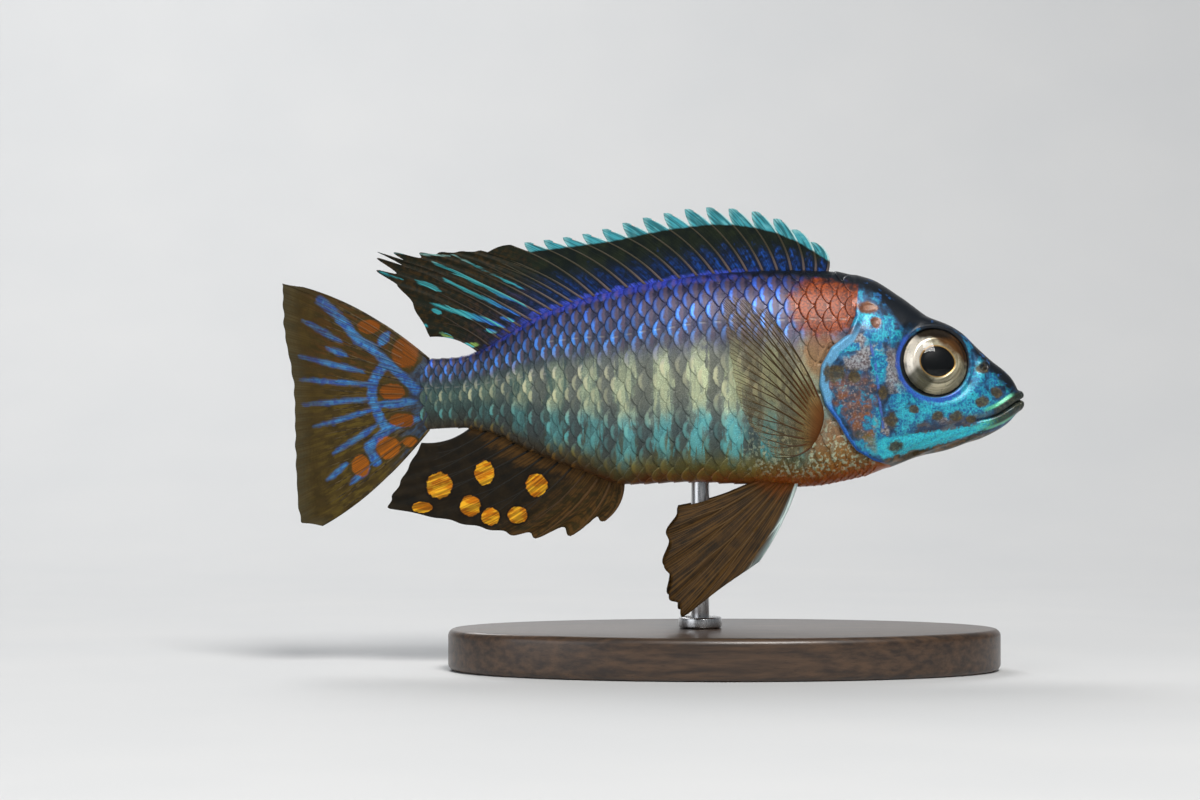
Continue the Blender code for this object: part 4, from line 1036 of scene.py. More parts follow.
# %% Rods and sheets as closed meshes
def bent(root, tip, bow, v):
    """Points along rays from root to tip, as (station, level), bowed forwards in the middle."""
    along = tip - root
    across = unit(np.stack([along[..., 1], -along[..., 0]], -1))
    across *= -np.sign(across[..., :1] + 1e-12)
    v = np.asarray(v)[..., None]
    return root + along * v + across * np.asarray(bow)[..., None] * 4 * v * (1 - v)


def tube(path, radius, sides):
    """A closed tapered rod along a path, in metres."""
    path = np.asarray(path)
    forward = unit(np.gradient(path, axis=0))
    first = unit(np.cross(forward, (0.0, 1.0, 0.0)))
    second = np.cross(forward, first)
    angle = np.arange(sides) * 2 * math.pi / sides
    ring = first[:, None] * np.cos(angle)[None, :, None] + second[:, None] * np.sin(angle)[None, :, None]
    points = path[:, None] + ring * (np.asarray(radius) * MM)[:, None, None]
    return points.reshape(-1, 3), tube_faces(len(path), sides)


def thin_sheet(surface, half):
    """A closed sheet over a grid of points, and its faces."""
    normal = unit(np.cross(np.gradient(surface, axis=0), np.gradient(surface, axis=1)))
    both = np.stack([surface + normal * half[..., None] * MM, surface - normal * half[..., None] * MM])
    return both.reshape(-1, 3), sheet_faces(*surface.shape[:2])


def joined(parts):
    """Several (points, faces, marks) as one."""
    points, faces, marks, start = [], [], [], 0
    for these, own, noted in parts:
        points.append(these)
        faces += [[k + start for k in f] for f in own]
        marks.append(noted)
        start += len(these)
    return np.concatenate(points), faces, {k: np.concatenate([m[k] for m in marks]) for k in marks[0]}


print("a rod of 16 rings has", len(tube_faces(16, 6)), "faces")


# %% Spines and branching rays
def branches(steps):
    """The four parts of a soft ray: pairs of (shift across the fan, share along the ray)."""
    v = np.linspace(0.0, 1.0, steps)
    first, second = 0.24 * ease(v, 0.36, 0.75), 0.11 * ease(v, 0.68, 1.0)
    made = []
    for a in (-1, 1):
        for b in (-1, 1):
            start = 0 if a < 0 and b < 1 else int(steps * (0.34 if b < 1 else 0.64))
            made.append(((a * first + b * second)[start:], v[start:]))
    return made


def rod(path, radius, u, v, notes, sides):
    """A rod along a path, with its notes."""
    points, faces = tube(path, radius, sides)
    return points, faces, notes(np.repeat(u, sides), np.repeat(v, sides), points)


def soft_rays(surface, rays, thick, notes, steps=16):
    """All the soft rays of a fan as rods. surface(u, v) gives points in metres."""
    made = []
    for ray in rays:
        for shift, v in branches(steps):
            u = np.clip(ray + shift, rays[0], rays[-1])
            radius = thick * (1 - 0.72 * v) * np.where(v > 0.36, 0.82, 1.0) * np.where(v > 0.7, 0.85, 1.0)
            made.append(rod(surface(u, v), radius, u, v, notes, 6))
    return made


def spines(count, steps, path_of, radius, thinning, notes):
    """Single stiff rays, each a rod that tapers to its tip."""
    v = np.linspace(0, 1, steps)
    return [rod(path_of(i, v), radius - thinning * v, np.full(steps, float(i)), v, notes, 8)
            for i in range(count)]


print("a soft ray has", len(branches(16)), "branches")


# %% The edge and the waves of a web
def off_ray(u):
    """0 on a ray and 1 half way to the next."""
    return np.sin(math.pi * (u - np.floor(u))) ** 2


def drawn_in(tip, root, share):
    """Points at the edge of a fan, drawn in by a share of the way to the root."""
    return tip - (tip - root) * share[..., None]


def ripple(u, v, height):
    """The waves of a web from ray to ray, wider towards the edge, in millimetres."""
    return height * np.sin(2 * math.pi * u) * v


print("off a ray", off_ray(0.5), "and on it", off_ray(1.0))

# %% Webs and their notes
FAR_AWAY = 9.0


def fin_notes(streaks=None, spots=None, line=None):
    """A function that notes on a fin's points their ray, share along it, place and marks."""
    def notes(u, v, points, margin=None):
        station = SNOUT_X - points[:, 0] / MM
        level = points[:, 2] / MM - AXIS_HEIGHT
        far = np.full(len(points), FAR_AWAY)
        streak = streak_distance(station, level, streaks) if streaks else far
        spot = spot_distance(station, level, spots) if spots else far
        edge = far if margin is None else margin
        above = line_distance(station, level, line) if line else -far
        return {"fan": np.stack([u, v, edge], -1), "lie": np.stack([station, level, station * 0], -1),
                "marks": np.stack([streak, spot, above], -1)}
    return notes


def web(surface, u, v, half, notes, measured=False):
    """The thin skin over rays u, as a closed sheet with its notes. measured adds the way to the edge."""
    uu, vv = np.meshgrid(u, v, indexing="ij")
    sheet = surface(uu, vv)
    points, faces = thin_sheet(sheet, half(uu, vv))
    margin = None
    if measured:
        end = surface(u, np.ones_like(u))
        margin = np.tile((np.linalg.norm(sheet - end[:, None], axis=-1) / MM).ravel(), 2)
    return points, faces, notes(np.tile(uu.ravel(), 2), np.tile(vv.ravel(), 2), points, margin)


print("a place without marks counts as", FAR_AWAY, "mm from them")

# %% [markdown]
# ### The dorsal fin
# The front two thirds of this fin stand on stiff spines. Behind each spine's tip the
# web runs out in a small free flap, a lappet, and then falls to a notch on the next
# spine. The last third has soft rays and ends in a long point. The webs are made one
# by one between the spines, because a single grid couldn't turn so sharply at a tip.

# %% Sizes of the dorsal fin
DORSAL_SPINES, DORSAL_RAYS = 16, 11
DORSAL_SPINE_BASE = smooth([(0, 32.9), (3, 38.8), (15, 71.5)])
DORSAL_SPINE_TIP_STATION = smooth([(0, 34.3), (2, 40.3), (5, 51.5), (10, 68.8), (15, 85.0)])
DORSAL_SPINE_TIP_LEVEL = smooth(
    [(0, 26.0), (1, 28.1), (3, 31.1), (5, 31.8), (8, 30.1), (11, 27.4), (15, 25.6)])
DORSAL_NOTCH = smooth([(0, 0.3), (1, 0.42), (3, 0.6), (5, 0.7), (15, 0.84)])
DORSAL_RAY_BASE = smooth([(0, 73.3), (10, 90.8)])
DORSAL_RAY_TIP_STATION = smooth([(0, 90.7), (3, 100.7), (5, 108.0), (7, 108.2), (8, 104.2), (10, 99.2)])
DORSAL_RAY_TIP_LEVEL = smooth([(0, 25.0), (3, 24.7), (5, 24.8), (7, 21.7), (8, 18.6), (10, 10.6)])
SPINE_BOW = 0.9
ROOT_SINK = 0.35
DORSAL_STREAKS = [
    ([(101.8, 20.2), (97.2, 18.2)], 0.7), ([(97.3, 20.5), (84.0, 14.0)], 0.55),
    ([(99.0, 23.3), (82.3, 15.2)], 0.5), ([(95.3, 24.3), (83.2, 18.3)], 0.3),
    ([(99.3, 16.3), (86.5, 12.2)], 0.9), ([(99.0, 15.2), (97.2, 14.5)], 0.7),
    ([(102.3, 24.6), (95.7, 24.1)], 0.3), ([(99.0, 23.3), (95.7, 21.7)], 0.3),
    ([(108.4, 24.8), (104.0, 24.5)], 0.3), ([(107.8, 21.5), (103.7, 20.2)], 0.25),
    ([(87.5, 13.8), (85.0, 13.2)], 0.6), ([(90.0, 11.8), (87.8, 11.3)], 0.6),
    ([(101.0, 12.8), (99.6, 12.3)], 0.5), ([(97.7, 11.3), (95.3, 10.3)], 0.6),
    ([(94.7, 9.0), (90.8, 9.3)], 0.7)]
print("dorsal fin", DORSAL_SPINES, "spines and", DORSAL_RAYS, "soft rays")


# %% Roots and tips of the spines and rays
def pair(*curves):
    """Two curves, of station and level, as one that gives points."""
    return lambda u: np.stack([np.asarray(c(u), float) for c in curves], -1)


def back_root(base):
    """Roots of spines or rays along the back, a little under the skin."""
    return lambda u: np.stack([base(u), back_level(base(u)) - ROOT_SINK], -1)


spine_root, spine_tip = back_root(DORSAL_SPINE_BASE), pair(DORSAL_SPINE_TIP_STATION, DORSAL_SPINE_TIP_LEVEL)
soft_root, soft_tip = back_root(DORSAL_RAY_BASE), pair(DORSAL_RAY_TIP_STATION, DORSAL_RAY_TIP_LEVEL)


def in_plane(points, side=0.0):
    """Points (station, level) on the fish's middle plane, or a little to its side, in metres."""
    return place(points[..., 0], side, points[..., 1])


def spine_point(i, share):
    """The point at a share of the way along a dorsal spine."""
    return bent(spine_root(i), spine_tip(i), SPINE_BOW, share)


notch_line = [tuple(spine_point(i, float(DORSAL_NOTCH(i))) + (-0.2, 0.1)) for i in range(DORSAL_SPINES)]
notch_line = [(30.0, 21.5)] + notch_line + [(87.0, 27.0), (100.0, 30.0)]
dorsal_notes = fin_notes(DORSAL_STREAKS, None, notch_line)
print("notches", len(notch_line))


# %% Webs between the spines
def spiny_web(i):
    """The surface of the skin between two spines, with the lappet behind the first one's tip."""
    tip = spine_tip(i)
    if i + 1 < DORSAL_SPINES:
        next_root, next_tip, part = spine_root(i + 1), spine_tip(i + 1), float(DORSAL_NOTCH(i + 1))
        end = bent(next_root, next_tip, SPINE_BOW, part)
    else:
        next_root, end, part = soft_root(0), soft_tip(0) - (1.0, 0.4), 1.0
    lappet = tip + (1.55, 0.28)
    shares = [0.0, 0.2, 0.45, 0.62, 1.0]
    edge = [tip, tip + (0.8, 0.34), lappet, lappet * 0.72 + end * 0.28 + (0.18, 0.1), end]
    top = pair(*(smooth([(s, float(p[k])) for s, p in zip(shares, edge)]) for k in (0, 1)))
    root = spine_root(i)

    def surface(u, v):
        x = u - i
        foot = root + (next_root - root) * x[..., None]
        foot[..., 1] = back_level(foot[..., 0]) - ROOT_SINK
        bow = SPINE_BOW * (1 + (part**2 - 1) * x)
        return in_plane(bent(foot, top(x), bow, v), ripple(x / 2, v, 0.1))

    return surface


print("first web runs from", *spine_root(0), "to", *spine_root(1))


# %% Soft rays, and the whole fin
def even_half(base, edge):
    """Half the thickness of a web, thinner towards its edge."""
    return lambda u, v: base + (edge - base) * v**2


def soft_fan(root_of, tips, bays):
    """The surface of soft rays in the middle plane, with a bay in the edge between each two."""
    def surface(u, v):
        root = root_of(u)
        bay = np.interp(u, np.arange(len(bays)), bays) * off_ray(u)
        bow = np.full(np.shape(u), SPINE_BOW)
        return in_plane(bent(root, drawn_in(tips(u), root, bay), bow, v), ripple(u, v, WEB_RIPPLE))
    return surface


WEB_RIPPLE = 0.12
median_half = even_half(0.12, 0.05)
soft_dorsal = soft_fan(
    soft_root, soft_tip, [0.02, 0.02, 0.02, 0.05, 0.13, 0.17, 0.17, 0.12, 0.05, 0.03, 0.02])
dorsal = [
    web(spiny_web(i), np.linspace(i, i + 1, 15), np.linspace(0, 1, 40), median_half, dorsal_notes, True)
    for i in range(DORSAL_SPINES)]
dorsal_columns = np.linspace(0, DORSAL_RAYS - 1, 121)
dorsal.append(web(soft_dorsal, dorsal_columns, np.linspace(0, 1, 70), median_half, dorsal_notes, True))
dorsal_rods = spines(DORSAL_SPINES, 22, lambda i, v: in_plane(spine_point(i, v)), 0.27, 0.18, dorsal_notes)
dorsal_rods += soft_rays(soft_dorsal, np.arange(DORSAL_RAYS, dtype=float), 0.26, dorsal_notes)
print("dorsal fin", len(dorsal), "webs", len(dorsal_rods), "rods")

# %% [markdown]
# ### The anal fin
# The anal fin has three short spines, whose tips stand out like teeth, and soft rays
# behind them. Round yellow spots, the egg spots, lie on it. It needs no grid of its
# own: the fan of soft rays takes deep bays at the spines and shallow ones behind.

# %% Anal fin
ANAL_SPINES, ANAL_RAYS = 3, 9
ANAL_BASE = smooth([(0, 66.9), (2, 70.7), (3, 72.9), (11, 92.0)])
ANAL_TIP = pair(
    smooth([(0, 70.0), (1, 75.7), (2, 81.5), (4, 89.3), (6, 99.0), (7, 106.3), (9, 104.0), (11, 100.6)]),
    smooth([(0, -20.2), (1, -22.7), (2, -23.1), (4, -21.7), (6, -19.6), (7, -18.0), (9, -13.3), (11, -7.2)]))
EGG_SPOTS = [
    (97.6, -14.3, 2.2, 2.2), (90.0, -12.2, 1.65, 2.1), (81.3, -14.2, 1.85, 1.9), (100.5, -18.0, 1.7, 1.0),
    (92.4, -17.7, 1.7, 1.75), (89.0, -19.5, 1.55, 1.5), (84.5, -19.2, 1.6, 1.45)]
ANAL_BAYS = [0.3, 0.24, 0.12, 0.04] + [0.02] * 8
anal_notes = fin_notes(None, EGG_SPOTS)


def anal_root(u):
    """The roots of the anal fin along the belly."""
    station = ANAL_BASE(u)
    return np.stack([station, belly_level(station) + ROOT_SINK], -1)


anal_surface = soft_fan(anal_root, ANAL_TIP, ANAL_BAYS)
anal_columns = np.linspace(0, ANAL_SPINES + ANAL_RAYS - 1, 133)
anal = [web(anal_surface, anal_columns, np.linspace(0, 1, 64), median_half, anal_notes)]
anal_rods = spines(
    ANAL_SPINES, 18, lambda i, v: anal_surface(np.full(v.shape, float(i)), v), 0.34, 0.24, anal_notes)
anal_soft = np.arange(ANAL_SPINES, ANAL_SPINES + ANAL_RAYS, dtype=float)
anal_rods += soft_rays(anal_surface, anal_soft, 0.26, anal_notes)
print("anal fin", len(anal_rods), "rods and", len(EGG_SPOTS), "egg spots")

# %% [markdown]
# ### The tail fin
# The tail fin is a fan from the end of the body. Its root is wrapped in flesh and its
# outer rays bow a little inwards. The thickness therefore falls from the body's own to
# a thin web within the first few millimetres, so that no step shows at the root.

# %% Sizes and marks of the tail fin
CAUDAL_RAYS = 17
CAUDAL_TIP = pair(
    smooth([(0, 120.8), (0.06, 124.2), (0.25, 124), (0.5, 122.2), (0.75, 121.9), (0.94, 120.9), (1, 117.4)]),
    smooth([(0, 19.0), (0.06, 19.6), (0.25, 13.0), (0.5, 1.2), (0.75, -10.8), (0.94, -20.6), (1, -21.2)]))
CAUDAL_BOW, CAUDAL_LENGTH, CAUDAL_FLESH = 1.6, 23.0, 5.0
CAUDAL_BLUE = [
    ([(101.5, 1.7), (104.0, 4.2), (106.5, 6.3), (109.0, 8.7), (111.5, 10.3), (113.2, 12.5), (115.7, 15.0),
      (117.7, 16.7)], 1.23),
    ([(106.2, 11.2), (107.7, 9.2)], 1.3),
    ([(106.5, 6.3), (108.7, 3.3), (109.0, 0.8), (108.2, -1.7), (107.0, -4.2), (106.5, -5.0), (109.5, -8.0),
      (108.2, -10.3)], 1.3),
    ([(108.2, -0.8), (101.5, -0.3)], 1.16), ([(107.3, -5.0), (100.7, -3.0)], 1.16),
    ([(101.5, 9.2), (104.0, 8.0)], 0.72), ([(120.7, 13.3), (114.0, 9.7)], 0.72),
    ([(116.8, 8.8), (113.2, 7.5)], 0.6), ([(121.3, 7.4), (110.3, 4.7)], 0.7),
    ([(121.2, 3.4), (109.2, 2.6)], 0.64), ([(120.5, -0.8), (108.8, 0.3)], 0.64),
    ([(118.8, -4.6), (108.8, -1.6)], 0.64), ([(115.4, -8.9), (108.0, -4.2)], 0.72),
    ([(116.5, -13.3), (113.2, -10.8)], 0.72), ([(112.5, -14.0), (109.5, -11.5)], 0.72)]
CAUDAL_SPOTS = [
    (103.3, 7.9, 2.3, 2.7), (105.5, 1.4, 2.2, 1.4), (103.8, -3.4, 2.2, 1.2), (106.2, -8.0, 2.1, 1.9),
    (102.5, -7.0, 1.3, 0.9), (109.5, 12.3, 2.1, 1.2), (110.8, -11.0, 1.5, 1.9)]
caudal_notes = fin_notes(CAUDAL_BLUE, CAUDAL_SPOTS)
tail_top, tail_foot = float(back_level(STANDARD_LENGTH)), float(belly_level(STANDARD_LENGTH))
print("root of the tail fin %.1f mm high" % (tail_top - tail_foot))


# %% Tail fin
def caudal_surface(u, v):
    """The tail fin, whose outer rays bow a little towards its middle."""
    across = u / (CAUDAL_RAYS - 1)
    level = tail_top - (tail_top - tail_foot) * (0.02 + 0.96 * across)
    root = np.stack([np.full(np.shape(u), STANDARD_LENGTH - 0.6), level], -1)
    tip = drawn_in(CAUDAL_TIP(across), root, 0.006 * off_ray(u) + 0.004 * np.sin(u * 2.3) ** 2)
    points = root + (tip - root) * np.asarray(v)[..., None]
    spread = 2 * across - 1
    points[..., 1] -= np.sign(spread) * spread**2 * CAUDAL_BOW * 4 * v * (1 - v)
    return in_plane(points, ripple(u, v, 0.05))


def caudal_half(u, v):
    """Half the thickness of the tail fin, from the flesh of its root to the thin web."""
    across = u / (CAUDAL_RAYS - 1)
    flesh = float(half_width(STANDARD_LENGTH)) * np.sqrt(np.maximum(1 - (2 * across - 1) ** 2, 0.02)) - 0.1
    thin = 0.16 - 0.1 * v
    return flesh + (thin - flesh) * ease(v * CAUDAL_LENGTH / CAUDAL_FLESH)


caudal_columns = np.linspace(0, CAUDAL_RAYS - 1, 161)
caudal = [web(caudal_surface, caudal_columns, np.linspace(0, 1, 100), caudal_half, caudal_notes)]
caudal_rods = soft_rays(caudal_surface, np.arange(CAUDAL_RAYS, dtype=float), 0.3, caudal_notes, steps=22)
print("tail fin", len(caudal_rods), "rods")

# %% [markdown]
# ### The paired fins
# The pectoral fins are clear fans behind the gill covers, on a short fleshy stem. The
# pelvic fins hang from the belly and end in a swept point. Both lean out from the body,
# so their sheets are laid over the side of the body first and then led away from it.

# %% Pectoral fins
PECTORAL_RAYS = 13
PECTORAL_ROOT_TOP, PECTORAL_ROOT_FOOT = np.array((34.0, -1.9)), np.array((35.7, -7.4))
PECTORAL_TIP = pair(
    smooth([(0, 43.7), (1, 46.8), (3, 50.8), (6, 49.5), (9, 47.6), (12, 42.3)]),
    smooth([(0, 14.7), (2, 17.0), (3, 16.0), (7, 4.2), (12, -9.3)]))
PECTORAL_FLARE, PECTORAL_STEM, PECTORAL_FLESH = 0.11, 0.9, 0.7


def body_side(station, level):
    """Half width of the body at a station and level."""
    top, foot = back_level(station), belly_level(station)
    middle = foot + (top - foot) * widest_share(station)
    above = level >= middle
    reach = np.where(above, top - middle, middle - foot)
    power = np.where(above, upper_roundness(station), lower_roundness(station))
    share = np.minimum(np.abs(level - middle) / reach, 1.0)
    return half_width(station) * (1 - share**power) ** (1 / power)


def pectoral_surface(side_sign):
    """A pectoral fin: a fan that starts on the flank and leans out from it."""
    def surface(u, v):
        share = (u / (PECTORAL_RAYS - 1))[..., None]
        root = PECTORAL_ROOT_TOP + (PECTORAL_ROOT_FOOT - PECTORAL_ROOT_TOP) * share
        along = drawn_in(PECTORAL_TIP(u), root, 0.015 * off_ray(u)) - root
        across = unit(np.stack([-along[..., 1], along[..., 0]], -1))
        bow = SPINE_BOW * (1 - 2 * ease(u, 6.0, 12.0)) * 4 * v * (1 - v)
        points = root + along * np.asarray(v)[..., None] + across * np.asarray(bow)[..., None]
        reach = np.linalg.norm(points - root, axis=-1)
        out = body_side(root[..., 0], root[..., 1]) - 0.7 * ease(reach, 1.0, 0.0)
        out = out + PECTORAL_STEM * ease(reach, 0.0, 2.5) + PECTORAL_FLARE * reach
        return place(points[..., 0], side_sign * (out + ripple(u, v, 0.1)), points[..., 1])
    return surface


def pectoral_half(u, v):
    """Half the thickness of a pectoral fin, thick at its fleshy stem."""
    flesh = PECTORAL_FLESH * np.sqrt(np.maximum(1 - (u / 6.0 - 1) ** 2, 0.0)) + 0.1
    return flesh + (0.07 - flesh) * ease(v, 0.0, 0.2)


print("flank at the pectoral root %.1f mm from the middle" % body_side(*PECTORAL_ROOT_TOP))


# %% Pelvic fins
PELVIC_RAYS = 6
PELVIC_BASE = smooth([(0, 38.0), (5, 43.6)])
PELVIC_TIP = pair(
    smooth([(0, 44.6), (1, 57.2), (2, 59.4), (3, 60.2), (4, 59.6), (5, 57.6)]),
    smooth([(0, -26.7), (1, -35.5), (2, -32.6), (3, -27.2), (4, -22.0), (5, -17.7)]))
PELVIC_OUT, PELVIC_SPLAY = 2.7, 0.33


def pelvic_surface(side_sign):
    """A pelvic fin, which hangs from the belly and leans out the further down it is."""
    def surface(u, v):
        station = PELVIC_BASE(u)
        belly = belly_level(station)
        root = np.stack([station, belly + 1.2], -1)
        tip = drawn_in(PELVIC_TIP(u), root, 0.05 * off_ray(u))
        points = bent(root, tip, np.full(np.shape(u), 0.6), v)
        out = PELVIC_OUT + PELVIC_SPLAY * np.maximum(belly - points[..., 1], 0.0)
        return place(points[..., 0], side_sign * (out + ripple(u, v, WEB_RIPPLE)), points[..., 1])
    return surface


plain_notes = fin_notes()
print("pelvic fins end at station %.1f" % PELVIC_TIP(3)[0])

# %% [markdown]
# ### Colours of the fins
# A web is thin and its colour runs along the rays. Noise that is drawn out along them
# and the faint joints across them are in every fin, so they are a node group. One
# function makes the finish of every web: ground colours, marks, fine dark lines and
# joints. A small function for each fin adds what is its own. The clear pectoral fins let
# light through by a low alpha, not as glass, because so thin a sheet hardly bends it.

# %% Noise and joints along the rays
RAY_JOINTS = 260.0


def build_ray_grain():
    """Noise drawn out along the rays of a fin, and the joints across them."""
    tree, n, given, out = node_group(
        "ray_grain", [("Across", "Float", 9.0), ("Along", "Float", 2.0), ("Detail", "Float", 3.0)],
        [("Noise", "Float"), ("Joints", "Float")])
    u, v, _ = n.attribute("fan")
    drawn_out = n.add("CombineXYZ", u * given["Across"], v * given["Along"], 0.0)
    n.fill(out["Noise"], n.noise(drawn_out, 1.0, given["Detail"]))
    n.fill(out["Joints"], n.math("SINE", v * RAY_JOINTS))
    return tree


ray_grain = build_ray_grain()
print("joints along a ray", round(RAY_JOINTS / (2 * math.pi)))


# %% Finishes of webs and rays
def fin_finish(name, ground, ray_colour, paint, alpha):
    """A material for the sheet of a fin. paint adds its marks to the two ground colours."""
    made, n, shader = finish(name, Roughness=0.5, Specular_IOR_Level=0.1)
    u, v, _ = n.attribute("fan")
    colour = n.mix(n.step(n.noise(n.position(), 0.5, 3.0), 0.35, 0.7), *ground)
    colour = paint(n, colour, u, v)
    grain = use_group(n, ray_grain, Detail=2.0)
    colour = n.blend(grain["Noise"], 0.62, 0.4, colour, n.mix(0.6, colour, ray_colour))
    n.fill(shader.inputs["Base Color"], colour)
    bump(n, shader, grain["Noise"] * 0.8 + grain["Joints"] * 0.05, 0.12, 0.6)
    if alpha < 1.0:
        n.fill(shader.inputs["Alpha"], n.step(v, 0.02, 0.35) * (alpha - 0.95) + 0.95)
    return made


def rod_finish(name, paint):
    """A material for the spines and rays of a fin."""
    made, n, shader = finish(name, Roughness=0.42, Specular_IOR_Level=0.18)
    u, v, _ = n.attribute("fan")
    n.fill(shader.inputs["Base Color"], paint(n, u, v))
    bump(n, shader, use_group(n, ray_grain)["Joints"], 0.02, 0.25)
    return made


def along_rays(n, across, along):
    """The noise of the group with values of its own, from -0.5 to 0.5."""
    return use_group(n, ray_grain, Across=across, Along=along)["Noise"] - 0.5


print("ray grain", len(ray_grain.nodes), "nodes")


# %% Marks of the dorsal fin
def dorsal_paint(n, colour, u, v):
    """Dark with blue patches near the base, pale lappets in front and streaks behind."""
    _, _, edge = n.attribute("fan")
    streak, _, above = n.attribute("marks")
    station, level, _ = n.attribute("lie")
    rough = along_rays(n, 2.2, 9.0)
    soft = n.noise(n.position(), 1.3, 3.0) - 0.5
    colour = n.blend(v, 0.55, 0.1, colour, (0.006, 0.014, 0.05))
    near = n.step(rough * 0.9 + v, 0.44, 0.14) * (n.step(station, 66.0, 40.0) * 0.65 + 0.35)
    near = near * n.step(station, 98.0, 84.0)
    gap = n.step(n.math("PINGPONG", u, 0.5), 0.12, 0.34)
    patch = near * gap * n.step(soft, -0.14, 0.12)
    colour = n.mix(patch * 0.85, colour, (0.014, 0.085, 0.42))
    foot = n.step(soft * 0.14 + v, 0.075, 0.02) * n.step(station, 42.0, 50.0)
    colour = n.mix(foot * n.step(station, 100.0, 84.0), colour, (0.06, 0.1, 0.62))
    rear = n.blend(soft, -0.1, 0.15, (0.012, 0.011, 0.005), (0.046, 0.024, 0.006))
    colour = n.mix(n.step(soft * 6.0 + station, 78.0, 90.0) * 0.8, colour, rear)
    pale = n.step(rough * 0.35 + above, -0.15, 0.2)
    flag = n.blend(edge, 1.3, 0.1, (0.055, 0.33, 0.39), (0.24, 0.56, 0.58))
    colour = n.mix(pale, colour, n.blend(rough, 0.02, 0.2, flag, (0.11, 0.42, 0.47)))
    lines = n.step(rough * 0.9 + streak, 0.12, -0.18)
    light = n.blend(level, 10.6, 12.2, (0.28, 0.45, 0.11), (0.04, 0.35, 0.39))
    light = n.mix(n.step(v, 0.42, 0.12) * n.step(level, 10.6, 12.2), light, (0.04, 0.17, 0.62))
    return n.mix(lines * 0.95, colour, n.blend(level, 22.6, 23.6, light, (0.3, 0.54, 0.5)))


print("dorsal streaks", len(DORSAL_STREAKS))


# %% Marks of the anal and tail fins
def anal_paint(n, colour, u, v):
    """Dark with yellow egg spots."""
    _, spot, _ = n.attribute("marks")
    rough = along_rays(n, 2.4, 10.0)
    soft = n.noise(n.position(), 1.3, 3.0) - 0.5
    front = n.step(soft * 2.0 + u, 5.0, 2.0)
    brown = n.blend(rough, -0.1, 0.1, (0.036, 0.024, 0.006), (0.085, 0.042, 0.01))
    colour = n.mix(front, colour, brown)
    foot = n.step(rough * 0.35 + v, 0.2, 0.04)
    colour = n.mix(foot * 0.7, colour, (0.13, 0.06, 0.012))
    ring = soft * 0.36 + rough * 0.3 + spot
    colour = n.blend(ring, 0.26, 0.08, colour, (0.007, 0.005, 0.004))
    yolk = n.blend(rough, -0.1, 0.1, (0.56, 0.17, 0.004), (0.85, 0.43, 0.02))
    return n.blend(ring, 0.04, -0.07, colour, yolk)


def caudal_paint(n, colour, _, v):
    """Brown with blue lines round rusty spots."""
    streak, spot, _ = n.attribute("marks")
    station, level, _ = n.attribute("lie")
    rough = along_rays(n, 2.4, 9.0)
    soft = n.noise(n.position(), 1.0, 3.0) - 0.5
    warm = n.blend(level, -2.0, 8.0, (0.1, 0.068, 0.012), (0.09, 0.036, 0.008))
    colour = n.mix(n.step(rough, -0.06, 0.1) * n.step(station, 123.0, 112.0), colour, warm)
    root = n.step(soft * 4.0 + station, 107.0, 101.0)
    dusky = n.blend(soft, -0.1, 0.1, (0.018, 0.036, 0.072), (0.04, 0.095, 0.175))
    colour = n.mix(root * 0.85, colour, dusky)
    ring = soft * 0.5 + rough * 0.25 + spot
    colour = n.blend(ring, 0.45, 0.15, colour, (0.05, 0.036, 0.01))
    rust = n.blend(level, -6.0, -4.0, (0.34, 0.095, 0.006), (0.23, 0.06, 0.005))
    lines = n.step(soft * 0.7 + rough * 0.8 + streak, 0.42, -0.2)
    blue = n.blend(soft, -0.12, 0.14, (0.024, 0.09, 0.35), (0.052, 0.25, 0.54))
    colour = n.mix(lines * (n.step(station, 120.0, 112.0) * 0.45 + 0.5), colour, blue)
    colour = n.blend(ring, 0.08, -0.16, colour, rust)
    return n.mix(n.step(v, 0.86, 1.0) * 0.35, colour, (0.09, 0.09, 0.06))


print("tail streaks", len(CAUDAL_BLUE), "and spots", len(CAUDAL_SPOTS))


# %% Marks of the paired fins, and a finish for every web
def pectoral_paint(n, colour, _, v):
    """Clear, with orange at the root."""
    return n.blend(v, 0.22, 0.02, colour, (0.2, 0.06, 0.012))


def pelvic_paint(n, colour, u, v):
    """Dark brown with fine rays and a pale front edge."""
    colour = n.blend(v, 0.16, 0.02, colour, (0.24, 0.07, 0.01))
    fine = along_rays(n, 14.0, 2.0)
    colour = n.mix(n.step(fine, -0.06, 0.1) * 0.55, colour, (0.12, 0.056, 0.01))
    return n.mix(n.step(u, 0.22, 0.04) * 0.8, colour, (0.33, 0.43, 0.43))


BROWN_RAY = (0.045, 0.028, 0.008)
webs = {}
for name, ground, ray_colour, paint, alpha in (
        ("dorsal", ((0.004, 0.008, 0.008), (0.014, 0.02, 0.01)), (0.006, 0.01, 0.006), dorsal_paint, 1.0),
        ("anal", ((0.008, 0.007, 0.005), (0.02, 0.014, 0.007)), (0.014, 0.009, 0.004), anal_paint, 1.0),
        ("caudal", ((0.036, 0.024, 0.006), (0.062, 0.04, 0.009)), BROWN_RAY, caudal_paint, 1.0),
        ("pectoral", ((0.26, 0.18, 0.07), (0.36, 0.27, 0.11)), BROWN_RAY, pectoral_paint, 0.19),
        ("pelvic", ((0.014, 0.008, 0.002), (0.052, 0.025, 0.004)), (0.016, 0.008, 0.002), pelvic_paint, 1.0)):
    webs[name] = fin_finish(name + "_fin", ground, ray_colour, paint, alpha)
print("finishes of webs", list(webs))


